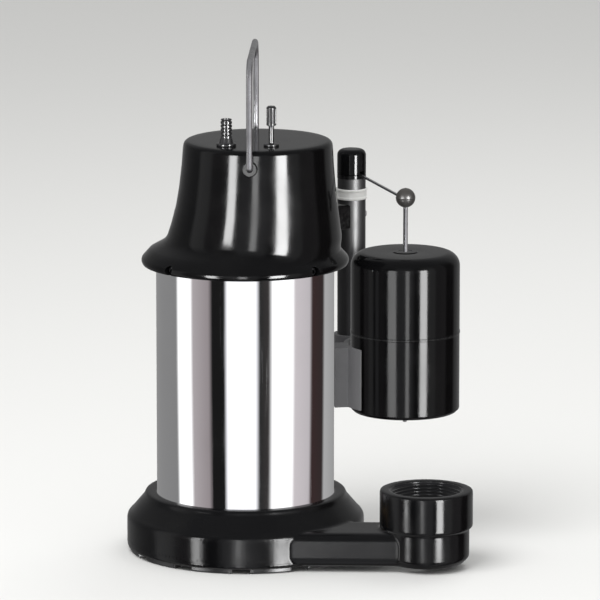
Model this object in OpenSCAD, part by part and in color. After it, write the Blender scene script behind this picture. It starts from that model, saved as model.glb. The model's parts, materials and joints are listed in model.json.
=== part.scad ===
// Submersible sump pump with a side-mounted vertical float switch.
// Millimetres. The motor axis is Z and the pump stands on z = 0.
// The discharge hub is on the right at the front.

/* [Body] */
// Outer radius of the stainless motor shell
shell_r = 58; // [56:0.5:60]
// Top of the volute casing, where the bare shell starts
base_top = 38.8; // [37:0.2:42]
// Outer radius of the volute casing and the suction cover
base_r = 77.7; // [76:0.1:80]
// Underside of the cap's flange, where the bare shell ends
flange_z = 189; // [188:0.5:190]
// Largest radius of the cap's flange
flange_r = 67.5; // [66.5:0.5:69]
// Height of the cap's flat top
cap_top = 271; // [270:1:276]

/* [Discharge] */
// Radius of the hub's threaded bore, 1-1/2 inch pipe thread
hub_bore_r = 22; // [20:0.5:23]
// Outer radius of the hub
hub_r = 30.2; // [28:0.2:32]
// Distance of the hub from the motor axis, to the right
hub_x = 119; // [115:1:125]
// Distance of the hub in front of the motor axis
hub_front = 49; // [46:1:50]
// Top face of the hub
hub_top = 51; // [49:1:56]

/* [Float switch] */
// Outer radius of the float
float_r = 36; // [34:0.5:36]
// Height of the float
float_h = 106; // [100:1:108]
// Underside of the float at its lowest point
float_z = 88; // [88:1:92]
// Radius of the float rod
rod_r = 1.5; // [1.2:0.1:2]
// Outer radius of the switch mast
mast_r = 9.3; // [9:0.1:9.6]
// Top of the switch head
mast_top = 256.5; // [254:0.5:258]

/* [Handle] */
// Radius of the bail's wire
bail_r = 2; // [1.5:0.1:2.5]
// Highest point of the upright bail
bail_top = 331; // [320:1:340]

/* [Hidden] */
$fn = 72;

// Clearances
fit = 0.05;
gap = 0.15;

// Shell and stator stack
shell_t = 1.2;
shell_in = shell_r - shell_t;
shell_low = 34;
shell_high = 196;
stack_z = 72;
stack_h = 70;
stack_r = shell_in - 0.6;
bore_r = 28.5;
slots = 24;
slot_in = 31;
slot_out = 44;
slot_w = 4.6;
coil_w = 3.8;
turn_h = 15;
turn_in = 31.4;
turn_out = 45.5;
turn_edge = 3;
slot_mouth = 2;
protector_h = 5;
protector_w = 18;
protector_l = 10;
bolt_pcr = 51.4;
bolt_r = 2.4;
bolt_n = 4;
bolt_turn = 45;
bolt_top = 181;
bolt_low = 28;
washer_h = 1.2;
nut_h = 4;
nut_r = 4.6;
nut_z = 175;
well_in = 8;
well_r = 6;

// Shaft, bearings and rotor
shaft_r = 6;
shoulder_r = 8;
shaft_low = 3.6;
shaft_high = 180;
bearing_r = 16;
bearing_h = 10;
low_bearing_z = 48;
high_bearing_z = 168;
race_in = 9;
race_out = 13.2;
ball_pcr = 11.1;
ball_r = 2.7;
groove_r = 3;
balls = 7;
rotor_r = 27.5;
end_ring_h = 6;
end_ring_in = 12;
fan_n = 8;
fan_r = 17;
fan_w = 2;
fan_l = 8;
fan_h = 3.5;
cage_t = 0.6;
cage_h = 2;

// Brackets
low_bracket_z = 33;
high_bracket_z = stack_z + stack_h;
skirt_in = 47;
boss_r = 21;
low_disc_h = 12;
o_ring_z = 38.5;
o_ring_r = 1.2;
high_disc_z = 172;
lead_turn = 200;
lead_x = 33;
lead_r = 5;

// Hydraulic end
strainer_h = 5;
strainer_r = 76;
strainer_rim = 12;
strainer_plate_z = 1.6;
strainer_plate_h = 1.8;
centre_pad_r = 9;
foot_n = 12;
foot_gap_w = 12;
foot_gap_h = 3.4;
slot_rows = 3;
slot_row_r = 22;
slot_pitch = 14;
slot_twist = 7;
slot_l = 10;
screen_w = 3.2;
strainer_screw_pcr = strainer_r - 18;
strainer_screw_n = 4;
strainer_screw_turn = 15;
cover_h = 4;
gasket_h = 1;
gasket_in = 65.4;
casing_z = strainer_h + cover_h + gasket_h;
chamber_top = 26;
rim_z = 21;
rim_edge = 5;
crown_r = 64;
crown_edge = 3;
eye_r = 19;
impeller_r = 44;
impeller_top = 25;
shroud_h = 3;
vane_low = 11.2;
vane_t = 3;
vanes = 6;
vane_sweep = 62;
impeller_hub_r = 10;
impeller_nut_r = 9.4;
impeller_nut_h = 4.5;
vane_steps = 10;
volute_steps = 48;
volute_r0 = 48;
volute_r1 = 63;
duct_w = 28;
duct_top = 22;
neck_low = 3;
neck_top = 25;
neck_w = 44;
neck_edge = 7;
neck_start = 24;
elbow_foot = 4;
elbow_r = 28;
elbow_in = 19;
collar_z = 26;
hub_y = -hub_front;
thread_z = 27;
cover_screw_pcr = 71.5;
cover_screw_n = 6;
cover_screw_turn = 40;
cover_screw_grip = 8;
screw_r = 2;
screw_head_r = 3.6;
screw_head_h = 2.4;
flat_head_h = 1.4;

// Mechanical seal
seat_r = 12;
seat_z = 35.2;
seat_h = 4.8;
head_z = 30.2;
head_h = 4.9;
head_r = 11.5;
spring_r = 9.2;
spring_wire = 0.6;
spring_turns = 3;
spring_sides = 8;
spring_steps = 28;
spring_rise = head_z - impeller_top - 2 * spring_wire - 0.3;
spring_low = impeller_top + spring_wire + 0.15;

// Cap
cap_t = 3.2;
roof_t = 6;
roof_z = cap_top - roof_t;
flange_edge = 3.5;
rim_mid = 192.3;
cap_foot = 202;
foot_x = 1.6;
foot_r = 60.8;
cap_mid = 208.5;
mid_x = 6.2;
mid_r = 56.8;
cap_waist = 228.5;
waist_x = 7.8;
waist_r = 52.8;
crest_x = 8.5;
crest_r = 48.6;
cap_screw_z = 192.8;
cap_screw_head_r = 3;
cap_screw_seat = 62;
cap_screw_turn = 45;
pivot_z = 260;
pivot_x = 5;
pivot_boss_r = 5;
pivot_boss_y = 51.2;
post_y = -24;
gland_x = -11;
gland_stem_r = 5.2;
gland_r = 3.7;
gland_bore_r = 2.6;
gland_top = 288.5;
gland_nut_r = 8.5;
gland_nut_h = 5;
plug_x = 18;
plug_stem_r = 3.5;
plug_head_r = 3.2;
plug_head_h = 13;
plug_top = 297;

// Bail
bail_y = 54;
bail_bend = 14;
bail_tip_y = 46;

// Motor electrics
cap_can_r = 17;
cap_can_x = 20;
cap_can_y = 12;
cap_can_z = 182;
cap_can_h = 64;
cap_can_edge = 3;
cup_t = 2;
cup_h = 14;
tab_x = 5;
tab_t = 0.8;
tab_w = 6;
tab_h = 8;
bracket_top = 180;
block_l = 36;
block_w = 15;
block_h = 12;
block_x = -31;
block_y = -26;
ways = 3;
way_pitch = 11;
way_w = 6;
way_h = 5;

// Float, rod and mast
float_x = 104;
float_y = 22;
float_t = 2;
float_edge = 9;
sleeve_r = 4.5;
stop_r = 7;
stop_h = 5;
ball_z = 229.5;
rod_ball_r = 6.5;
mast_x = 68;
mast_y = 53.5;
mast_low = 87;
mast_t = 1.5;
mast_in = mast_r - mast_t;
head_low = 237.5;
collar_low = 223.5;
collar_h = 7;
collar_r = 10.3;
arm_z = 204.5;
arm_h = 16;
arm_w = 14;
guide_z = 93;
guide_h = 40;
guide_in = float_r + 1.5;
guide_t = 3;
socket_t = 3;
guide_reach = 28;
mast_turn = atan2(float_y - mast_y, float_x - mast_x);
mast_reach = norm([float_x - mast_x, float_y - mast_y]);
arm_turn = atan2(mast_y, mast_x);
arm_reach = norm([mast_x, mast_y]);
web_turn = atan2(float_y, float_x);
web_reach = norm([float_x, float_y]);
stud_r = 2;
stud_z = [guide_z + 9, guide_z + guide_h - 9];
stud_nut_r = 4.2;
stud_nut_h = 3;
web_w = 18;
mast_screw_r = 1.5;
mast_screw_head_r = 2.8;
float_split = float_z + float_h / 2;

// Switch lever, in the mast's own frame: u points at the float's axis
lever_u = 2;
lever_z = 241.5;
lever_r = 0.9;
lever_tip_u = mast_reach - 3.8;
lever_pin_r = 1;
lever_tip_z = ball_z;
lever_slope = atan2(lever_z - lever_tip_z, lever_tip_u - lever_u);
lever_reach = norm([lever_z - lever_tip_z, lever_tip_u - lever_u]);
tail_u = -4.4;
switch_z = 232.1;
switch_h = 6.6;
plunger_low = switch_z + 3.4;
plunger_high = 242.1;

// ---- Shared shapes ----

module ring(r_out, r_in, h) {
    difference() {
        cylinder(r = r_out, h = h);
        translate([0, 0, -1])
            cylinder(r = r_in, h = h + 2);
    }
}

module around(n, r, turn = 0) {
    for (k = [0 : n - 1])
        rotate(turn + k * 360 / n)
            translate([r, 0, 0])
                children();
}

// A cylinder along +X
module bar(r, length) {
    rotate([0, 90, 0])
        cylinder(r = r, h = length);
}

module hexagon(r, h) {
    cylinder(r = r, h = h, $fn = 6);
}

// Stands children at the mast, with +X pointing at the float's axis
module at_mast() {
    translate([mast_x, mast_y, 0])
        rotate(mast_turn)
            children();
}

module at_float() {
    translate([float_x, float_y, 0])
        children();
}

// ---- Hydraulic end ----

module strainer_base() {
    color("#1c1c1e")
    difference() {
        union() {
            ring(strainer_r, strainer_r - strainer_rim, strainer_h);
            translate([0, 0, strainer_plate_z])
                cylinder(r = strainer_r - strainer_rim + 1, h = strainer_plate_h);
            cylinder(r = centre_pad_r, h = strainer_plate_z + 1);
        }
        // Water ways between the feet
        for (k = [0 : foot_n - 1])
            rotate(k * 360 / foot_n)
                translate([strainer_r - strainer_rim - 1, -foot_gap_w / 2, -1])
                    cube([strainer_rim + 5, foot_gap_w, 1 + foot_gap_h]);
        // Screen slots
        for (row = [0 : slot_rows - 1])
            around(foot_n + 6 * row, slot_row_r + slot_pitch * row, row * slot_twist)
                translate([-slot_l / 2, -screen_w / 2, 0])
                    cube([slot_l, screen_w, strainer_h]);
        around(strainer_screw_n, strainer_screw_pcr, strainer_screw_turn)
            translate([0, 0, -1])
                cylinder(r = screw_r + fit, h = strainer_h + 2);
    }
}

module suction_cover() {
    color("#141416")
    translate([0, 0, strainer_h])
    difference() {
        cylinder(r = base_r, h = cover_h);
        translate([0, 0, -1])
            cylinder(r = eye_r, h = cover_h + 2);
        around(cover_screw_n, cover_screw_pcr, cover_screw_turn)
            translate([0, 0, -1])
                cylinder(r = screw_r + fit, h = cover_h + 2);
        around(strainer_screw_n, strainer_screw_pcr, strainer_screw_turn)
            translate([0, 0, -1])
                cylinder(r = screw_r + fit, h = cover_h - 0.5);
    }
}

module cover_gasket() {
    color("#303033")
    translate([0, 0, strainer_h + cover_h])
    difference() {
        ring(base_r - 0.5, gasket_in, gasket_h);
        around(cover_screw_n, cover_screw_pcr, cover_screw_turn)
            translate([0, 0, -1])
                cylinder(r = screw_r + fit, h = gasket_h + 2);
    }
}

// Outline of the water way: a spiral that widens anticlockwise, then a straight duct to the hub
function volute_point(t) =
    (volute_r0 + (volute_r1 - volute_r0) * t) * [cos(-30 + 300 * t), sin(-30 + 300 * t)];

module volute_outline() {
    polygon([for (k = [0 : volute_steps]) volute_point(k / volute_steps)]);
    translate([0, -volute_r1])
        square([hub_x, duct_w]);
}

module casing_profile() {
    polygon([
        [0, casing_z], [base_r - 0.6, casing_z], [base_r, casing_z + 0.6],
        for (a = [0 : 15 : 60]) [base_r - rim_edge + rim_edge * cos(a), rim_z + rim_edge * sin(a)],
        [crown_r + 2.5, base_top - crown_edge - 0.2],
        for (a = [60 : 15 : 90]) [crown_r + crown_edge * cos(a), base_top - crown_edge + crown_edge * sin(a)],
        [0, base_top]
    ]);
}

module neck_block() {
    hull()
        for (y = [-1, 1], z = [neck_low + neck_edge, neck_top - neck_edge])
            translate([neck_start, hub_y + y * (neck_w / 2 - neck_edge), z])
                rotate([0, 90, 0])
                    cylinder(r = neck_edge, h = hub_x - neck_start, $fn = 32);
}

module volute_casing() {
    color("#101012")
    difference() {
        union() {
            rotate_extrude()
                casing_profile();
            difference() {
                neck_block();
                cylinder(r = base_r + 0.3, h = casing_z);
                cylinder(r = base_r - 6, h = casing_z + 1);
            }
            translate([hub_x, hub_y, neck_low]) {
                cylinder(r1 = elbow_r - elbow_foot, r2 = elbow_r, h = elbow_foot);
                translate([0, 0, elbow_foot])
                    cylinder(r = elbow_r, h = collar_z - neck_low - elbow_foot);
            }
            translate([hub_x, hub_y, collar_z]) {
                cylinder(r = hub_r, h = hub_top - collar_z - 1);
                translate([0, 0, hub_top - collar_z - 1])
                    cylinder(r1 = hub_r, r2 = hub_r - 1, h = 1);
            }
        }
        // Impeller chamber and duct
        translate([0, 0, casing_z - 1])
            linear_extrude(chamber_top - casing_z + 1)
                intersection() {
                    volute_outline();
                    circle(r = volute_r1 + 2);
                }
        translate([0, 0, casing_z])
            linear_extrude(duct_top - casing_z)
                intersection() {
                    volute_outline();
                    translate([10, -volute_r1])
                        square([hub_x - 10, duct_w]);
                }
        translate([0, 0, casing_z - 1])
            cylinder(r = volute_r0 - 1, h = chamber_top - casing_z + 1);
        // Elbow and threaded hub
        translate([hub_x, hub_y, neck_low + elbow_foot])
            cylinder(r = elbow_in, h = hub_top);
        translate([hub_x, hub_y, thread_z])
            cylinder(r = hub_bore_r, h = hub_top);
        // Seal opening, shell groove and bracket seat
        cylinder(r = eye_r, h = base_top + 1);
        translate([0, 0, low_bracket_z])
            cylinder(r = shell_in - 0.1, h = base_top);
        translate([0, 0, shell_low])
            cylinder(r = shell_r + gap, h = base_top);
        around(bolt_n, bolt_pcr, bolt_turn)
            translate([0, 0, bolt_low])
                cylinder(r = bolt_r + fit, h = base_top);
        around(cover_screw_n, cover_screw_pcr, cover_screw_turn)
            translate([0, 0, casing_z - 1])
                cylinder(r = screw_r + fit, h = cover_screw_grip + 1.5);
    }
}

// A backward-curved vane as a strip of even thickness
function vane_mid(t) =
    let (r = impeller_hub_r - 1 + (impeller_r - impeller_hub_r) * t) [r, -vane_sweep * pow(t, 0.9)];
function vane_side(t, side) =
    let (p = vane_mid(t), w = side * vane_t / 2, a = p[1] + w / p[0] * 180 / PI) p[0] * [cos(a), sin(a)];

module impeller_vane() {
    polygon([
        for (k = [0 : vane_steps]) vane_side(k / vane_steps, 1),
        for (k = [vane_steps : -1 : 0]) vane_side(k / vane_steps, -1)
    ]);
}

module impeller() {
    color("#8d7a4c")
    difference() {
        union() {
            translate([0, 0, impeller_top - shroud_h])
                cylinder(r = impeller_r, h = shroud_h);
            translate([0, 0, vane_low - 2])
                cylinder(r = impeller_hub_r, h = impeller_top - vane_low + 2);
            translate([0, 0, vane_low])
                linear_extrude(impeller_top - vane_low)
                    for (k = [0 : vanes - 1])
                        rotate(k * 360 / vanes)
                            impeller_vane();
        }
        cylinder(r = shaft_r + fit, h = impeller_top + 1);
    }
}

module impeller_nut() {
    color("#b9bbbe")
    difference() {
        translate([0, 0, shaft_low + 1])
            hexagon(impeller_nut_r, impeller_nut_h);
        translate([0, 0, 1])
            cylinder(r = shaft_r + fit, h = chamber_top);
    }
}

// ---- Mechanical seal ----

// One round section of the spring's wire, k steps along the coil
function spring_ring(k) =
    let (a = 360 * k / spring_steps, z = spring_low + spring_rise * k / (spring_turns * spring_steps))
    [for (s = [0 : spring_sides - 1])
        let (b = 360 * s / spring_sides, r = spring_r + spring_wire * cos(b))
        [r * cos(a), r * sin(a), z + spring_wire * sin(b)]];

module seal_spring() {
    n = spring_turns * spring_steps;
    m = spring_sides;
    points = [for (k = [0 : n]) each spring_ring(k)];
    walls = [for (k = [0 : n - 1], s = [0 : m - 1])
        each [
            [k * m + s, (k + 1) * m + s, (k + 1) * m + (s + 1) % m],
            [k * m + s, (k + 1) * m + (s + 1) % m, k * m + (s + 1) % m]
        ]];
    first_cap = [[for (s = [0 : m - 1]) s]];
    last_cap = [[for (s = [m - 1 : -1 : 0]) n * m + s]];
    color("#c4c6c8")
        polyhedron(points = points, faces = concat(walls, first_cap, last_cap));
}

module seal_head() {
    color("#2a2a2c")
    translate([0, 0, head_z])
    difference() {
        union() {
            cylinder(r = head_r, h = head_h - 1.9);
            translate([0, 0, head_h - 1.9])
                cylinder(r = head_r - 2, h = 1.9);
        }
        translate([0, 0, -1])
            cylinder(r = shaft_r + fit, h = head_h + 2);
    }
}

module seal_seat() {
    color("#ece6da")
    translate([0, 0, seat_z])
        ring(seat_r, shaft_r + 0.8, seat_h);
}

// ---- Motor ----

module lower_bracket() {
    color("#4a4c4f")
    difference() {
        union() {
            translate([0, 0, low_bracket_z])
                cylinder(r = shell_in - 0.3, h = low_disc_h);
            translate([0, 0, low_bracket_z + low_disc_h - 1])
                cylinder(r = boss_r, h = low_bearing_z + bearing_h - low_bracket_z - low_disc_h + 1);
            translate([0, 0, low_bracket_z + low_disc_h - 1])
                ring(stack_r, skirt_in, stack_z - low_bracket_z - low_disc_h + 1);
        }
        translate([0, 0, low_bracket_z - 1])
            cylinder(r = head_r + 1.5, h = seat_z - low_bracket_z + 1);
        translate([0, 0, low_bracket_z])
            cylinder(r = seat_r + fit, h = seat_z + seat_h - low_bracket_z);
        translate([0, 0, low_bracket_z])
            cylinder(r = shaft_r + 1, h = stack_z - low_bracket_z);
        translate([0, 0, low_bearing_z])
            cylinder(r = bearing_r + fit, h = 2 * bearing_h);
        translate([0, 0, o_ring_z - 1.5])
            ring(shell_in + 1, shell_in - 2.6, 3);
        around(bolt_n, bolt_pcr, bolt_turn)
            translate([0, 0, low_bracket_z - 1])
                cylinder(r = bolt_r + fit, h = stack_z);
    }
}

module base_o_ring() {
    color("#242426")
    rotate_extrude()
        translate([shell_in - o_ring_r - gap, o_ring_z])
            circle(r = o_ring_r, $fn = 24);
}

module motor_shell() {
    color("#d5d7da")
    translate([0, 0, shell_low])
    difference() {
        ring(shell_r, shell_in, shell_high - shell_low);
        translate([0, 0, cap_screw_z - shell_low])
            for (k = [0 : 3])
                rotate(cap_screw_turn + 90 * k)
                    translate([shell_in - 2, 0, 0])
                        bar(screw_r + fit, 8);
    }
}

module motor_shaft() {
    shoulder_low = low_bearing_z + bearing_h + 0.3;
    shoulder_high = high_bearing_z - 0.3;
    color("#c9cbce") {
        translate([0, 0, shaft_low])
            cylinder(r = shaft_r, h = shaft_high - shaft_low);
        translate([0, 0, shoulder_low])
            cylinder(r = shoulder_r, h = shoulder_high - shoulder_low);
    }
}

module rotor_core() {
    color("#85878b")
    translate([0, 0, stack_z])
        ring(rotor_r, shoulder_r + fit, stack_h);
}

module rotor_end_rings() {
    color("#c2c5c9")
    for (top = [0, 1])
        translate([0, 0, top ? stack_z + stack_h : stack_z - end_ring_h]) {
            ring(rotor_r - 1, end_ring_in, end_ring_h);
            translate([0, 0, top ? end_ring_h - 0.5 : -fan_h])
                around(fan_n, fan_r)
                    translate([0, -fan_w / 2, 0])
                        cube([fan_l, fan_w, fan_h + 0.5]);
        }
}

module stator_core() {
    color("#77797d")
    translate([0, 0, stack_z])
    linear_extrude(stack_h)
    difference() {
        circle(r = stack_r);
        circle(r = bore_r);
        for (k = [0 : slots - 1])
            rotate(k * 360 / slots) {
                translate([slot_in, -slot_w / 2])
                    square([slot_out - slot_in, slot_w]);
                translate([bore_r - 1, -slot_mouth / 2])
                    square([slot_in - bore_r + 2, slot_mouth]);
            }
        for (k = [0 : bolt_n - 1])
            rotate(bolt_turn + k * 360 / bolt_n)
                translate([bolt_pcr, 0])
                    circle(r = bolt_r + fit);
    }
}

module stator_windings() {
    color("#a8562c") {
        for (z = [stack_z - turn_h, stack_z + stack_h + 0.2])
            translate([0, 0, z])
                rotate_extrude()
                    polygon([
                        [turn_in, turn_edge], [turn_in + turn_edge, 0],
                        [turn_out - turn_edge, 0], [turn_out, turn_edge],
                        [turn_out, turn_h - turn_edge - 0.2], [turn_out - turn_edge, turn_h - 0.2],
                        [turn_in + turn_edge, turn_h - 0.2], [turn_in, turn_h - turn_edge - 0.2]
                    ]);
        around(slots, slot_in + 0.5)
            translate([0, -coil_w / 2, stack_z - 1])
                cube([slot_out - slot_in - 1, coil_w, stack_h + 2]);
    }
}

module thermal_protector() {
    color("#3d4046")
    rotate(lead_turn)
        translate([lead_x, -protector_w / 2, stack_z + stack_h + turn_h + 0.2])
            cube([protector_l, protector_w, protector_h]);
}

module race_groove() {
    rotate_extrude()
        translate([ball_pcr, bearing_h / 2])
            circle(r = groove_r, $fn = 32);
}

module bearing_outer(z) {
    color("#b4b7bb")
    translate([0, 0, z])
    difference() {
        ring(bearing_r, race_out, bearing_h);
        race_groove();
    }
}

module bearing_inner(z) {
    color("#c6c9cc")
    translate([0, 0, z])
    difference() {
        ring(race_in, shaft_r + fit, bearing_h);
        race_groove();
    }
}

// Balls held by a thin cage ring on their pitch circle
module bearing_balls(z) {
    color("#dfe1e3")
    translate([0, 0, z + bearing_h / 2]) {
        around(balls, ball_pcr)
            sphere(r = ball_r, $fn = 32);
        translate([0, 0, -cage_h / 2])
            ring(ball_pcr + cage_t, ball_pcr - cage_t, cage_h);
    }
}

module lower_bearing_outer() {
    bearing_outer(low_bearing_z);
}

module lower_bearing_inner() {
    bearing_inner(low_bearing_z);
}

module lower_bearing_balls() {
    bearing_balls(low_bearing_z);
}

module upper_bearing_outer() {
    bearing_outer(high_bearing_z);
}

module upper_bearing_inner() {
    bearing_inner(high_bearing_z);
}

module upper_bearing_balls() {
    bearing_balls(high_bearing_z);
}

module upper_bracket() {
    color("#4a4c4f")
    difference() {
        union() {
            translate([0, 0, high_bracket_z])
                ring(stack_r, skirt_in, shell_high - high_bracket_z);
            translate([0, 0, high_disc_z])
                cylinder(r = stack_r - 1, h = bracket_top - high_disc_z);
            translate([0, 0, high_bearing_z - 2])
                cylinder(r = boss_r, h = bracket_top - high_bearing_z);
        }
        translate([0, 0, high_bearing_z - 3])
            cylinder(r = bearing_r + fit, h = bearing_h + 3.2);
        translate([0, 0, high_bearing_z])
            cylinder(r = shaft_r + 1.5, h = 2 * bearing_h);
        // Nut wells and bolt holes
        around(bolt_n, bolt_pcr, bolt_turn) {
            translate([0, 0, high_bracket_z - 1])
                cylinder(r = bolt_r + fit, h = shell_high);
            translate([-well_in, 0, nut_z])
                cylinder(r = well_r, h = shell_high);
            translate([0, 0, nut_z])
                cylinder(r = nut_r + 0.2, h = shell_high);
        }
        for (k = [0 : 3])
            rotate(cap_screw_turn + 90 * k)
                translate([skirt_in, 0, cap_screw_z])
                    bar(screw_r + fit, 20);
        // Lead way between the motor and the cap
        rotate(lead_turn)
            translate([lead_x, 0, high_disc_z - 1])
                cylinder(r = lead_r, h = bracket_top);
    }
}

module through_bolts() {
    color("#aeb1b5")
    around(bolt_n, bolt_pcr, bolt_turn)
        translate([0, 0, bolt_low + 0.2])
            cylinder(r = bolt_r, h = bolt_top - bolt_low - 0.2);
}

module bolt_nuts() {
    color("#c4c7ca")
    around(bolt_n, bolt_pcr, bolt_turn)
        translate([0, 0, nut_z])
            difference() {
                union() {
                    cylinder(r = nut_r, h = washer_h);
                    hexagon(nut_r - 0.3, washer_h + nut_h);
                }
                translate([0, 0, -1])
                    cylinder(r = bolt_r + fit, h = nut_h + 4);
            }
}

module run_capacitor() {
    color("#2c2f36")
    translate([cap_can_x, cap_can_y, cap_can_z]) {
        cylinder(r = cap_can_r, h = cap_can_h - cap_can_edge);
        translate([0, 0, cap_can_h - cap_can_edge])
            cylinder(r1 = cap_can_r, r2 = cap_can_r - 2, h = cap_can_edge);
        for (x = [-tab_x, tab_x])
            translate([x - tab_t / 2, -tab_w / 2, cap_can_h - 1])
                cube([tab_t, tab_w, tab_h]);
    }
}

module capacitor_cup() {
    color("#8b8e93")
    translate([cap_can_x, cap_can_y, bracket_top])
    difference() {
        cylinder(r = cap_can_r + cup_t, h = cup_h);
        translate([0, 0, cap_can_z - bracket_top])
            cylinder(r = cap_can_r + 0.2, h = cup_h);
    }
}

module terminal_block() {
    color("#e7e2d4")
    translate([block_x, block_y, bracket_top])
    difference() {
        cube([block_w, block_l, block_h]);
        // Lead tunnels, each with its clamp screw's well
        for (k = [0 : ways - 1])
            translate([0, (block_l - (ways - 1) * way_pitch) / 2 + way_pitch * k, 0]) {
                translate([-1, -way_w / 2, 4])
                    cube([block_w + 2, way_w, way_h]);
                translate([block_w / 2, 0, 4 + way_h - 1])
                    cylinder(r = 2.2, h = block_h);
            }
    }
}

// ---- Cap ----

module cap_gasket() {
    color("#303033")
    translate([0, 0, shell_high])
        ring(shell_r, skirt_in + 3.5, 2);
}

module disc(x, r, z) {
    translate([x, 0, z])
        cylinder(r = r, h = 0.01, $fn = 64);
}

// Tapered housing: its left side leans in and its right side stays nearly upright
module cap_housing(inset, top) {
    hull() {
        disc(foot_x, foot_r - inset, cap_foot - 2);
        disc(mid_x, mid_r - inset, cap_mid);
    }
    hull() {
        disc(mid_x, mid_r - inset, cap_mid);
        disc(waist_x, waist_r - inset, cap_waist);
        disc(crest_x, crest_r - inset, top - 1.5);
        disc(crest_x, crest_r - 1.5 - inset, top);
    }
}

// Keeps what lies between two heights
module between(low, high) {
    intersection() {
        children();
        translate([0, 0, low])
            cylinder(r = 2 * base_r, h = high - low);
    }
}

module flange_profile() {
    polygon([
        [shell_r + gap, flange_z], [62, flange_z], [62.8, flange_z + 0.5],
        for (a = [-45 : 15 : 45])
            [flange_r - flange_edge + flange_edge * cos(a), rim_mid + flange_edge * sin(a)],
        [foot_r, cap_foot - 1], [50, cap_foot - 1], [50, shell_high + 2], [shell_r + gap, shell_high + 2]
    ]);
}

module cap_screw_holes() {
    for (k = [0 : 3])
        rotate(cap_screw_turn + 90 * k)
            translate([50, 0, cap_screw_z]) {
                bar(screw_r + fit, 30);
                translate([cap_screw_seat - 50, 0, 0])
                    bar(cap_screw_head_r + 0.3, 20);
            }
}

// The cap's lowest part, a heavy ring that clamps the shell
module cap_flange() {
    color("#0f0f11")
    difference() {
        union() {
            rotate_extrude()
                flange_profile();
            between(cap_foot - 2, cap_foot)
                cap_housing(0, cap_top);
        }
        translate([0, 0, shell_high])
            cylinder(r = 55, h = cap_foot);
        cap_screw_holes();
    }
}

module top_cap() {
    color("#0f0f11")
    difference() {
        union() {
            between(cap_foot, roof_z)
                cap_housing(0, cap_top);
            // Bosses for the bail's pivots
            for (side = [-1, 1])
                translate([pivot_x, side * pivot_boss_y, pivot_z])
                    rotate([side * 90, 0, 0])
                        cylinder(r = pivot_boss_r, h = 8);
        }
        between(cap_foot - 1, roof_z + 1)
            cap_housing(cap_t, roof_z);
        translate([pivot_x, -60, pivot_z])
            rotate([-90, 0, 0])
                cylinder(r = bail_r + fit, h = 120);
    }
}

module cap_roof() {
    color("#0f0f11")
    difference() {
        between(roof_z, cap_top + 1)
            cap_housing(0, cap_top);
        translate([gland_x, post_y, roof_z - 1])
            cylinder(r = gland_stem_r + fit, h = roof_t + 2);
        translate([plug_x, post_y, roof_z - 1])
            cylinder(r = plug_stem_r + fit, h = roof_t + 2);
    }
}

// Arm out to the mast, with a saddle for it
module mast_arm() {
    color("#0f0f11")
    difference() {
        rotate(arm_turn)
            translate([48, -arm_w / 2, arm_z])
                cube([arm_reach - 48, arm_w, arm_h]);
        cap_housing(0, cap_top);
        translate([mast_x, mast_y, arm_z - 1])
            cylinder(r = mast_r + fit, h = arm_h + 2);
        rotate(arm_turn)
            translate([arm_reach - 22, 0, arm_z + arm_h / 2])
                bar(mast_screw_r + fit, 22);
    }
}

module cap_screws() {
    color("#8e9195")
    for (k = [0 : 3])
        rotate(cap_screw_turn + 90 * k)
            translate([0, 0, cap_screw_z])
            difference() {
                union() {
                    translate([skirt_in + 1, 0, 0])
                        bar(screw_r, cap_screw_seat - skirt_in);
                    translate([cap_screw_seat, 0, 0])
                        bar(cap_screw_head_r, screw_head_h);
                }
                translate([cap_screw_seat + 1, 0, 0])
                    rotate([0, 90, 0])
                        hexagon(1.5, 4);
            }
}

module cord_gland() {
    color("#1a1a1c")
    translate([gland_x, post_y, 0])
    difference() {
        union() {
            translate([0, 0, cap_top - 12])
                cylinder(r = gland_stem_r, h = 12);
            translate([0, 0, cap_top])
                cylinder(r = 6.4, h = 1.6);
            translate([0, 0, cap_top + 1.6])
                cylinder(r1 = 4.6, r2 = gland_r, h = 5);
            translate([0, 0, cap_top + 6.6])
                cylinder(r = gland_r, h = gland_top - cap_top - 6.6);
        }
        translate([0, 0, cap_top - 13])
            cylinder(r = gland_bore_r, h = gland_top);
    }
}

module gland_nut() {
    color("#3a3a3d")
    translate([gland_x, post_y, roof_z - gland_nut_h])
    difference() {
        hexagon(gland_nut_r, gland_nut_h);
        translate([0, 0, -1])
            cylinder(r = gland_stem_r + fit, h = gland_nut_h + 2);
    }
}

module fill_plug() {
    color("#161618")
    translate([plug_x, post_y, 0]) {
        translate([0, 0, cap_top - 8])
            cylinder(r = plug_stem_r, h = 8);
        translate([0, 0, cap_top])
            cylinder(r = 5, h = 1.4);
        translate([0, 0, cap_top + 1.4])
            cylinder(r = plug_stem_r / 2, h = plug_top - cap_top - 10);
        translate([0, 0, plug_top - plug_head_h])
            cylinder(r = plug_head_r, h = plug_head_h - 1);
        translate([0, 0, plug_top - 1])
            cylinder(r1 = plug_head_r, r2 = plug_head_r - 1, h = 1);
    }
}

module bail_corner() {
    rotate([90, 0, 90])
        rotate_extrude(angle = 90)
            translate([bail_bend, 0])
                circle(r = bail_r, $fn = 32);
}

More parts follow.
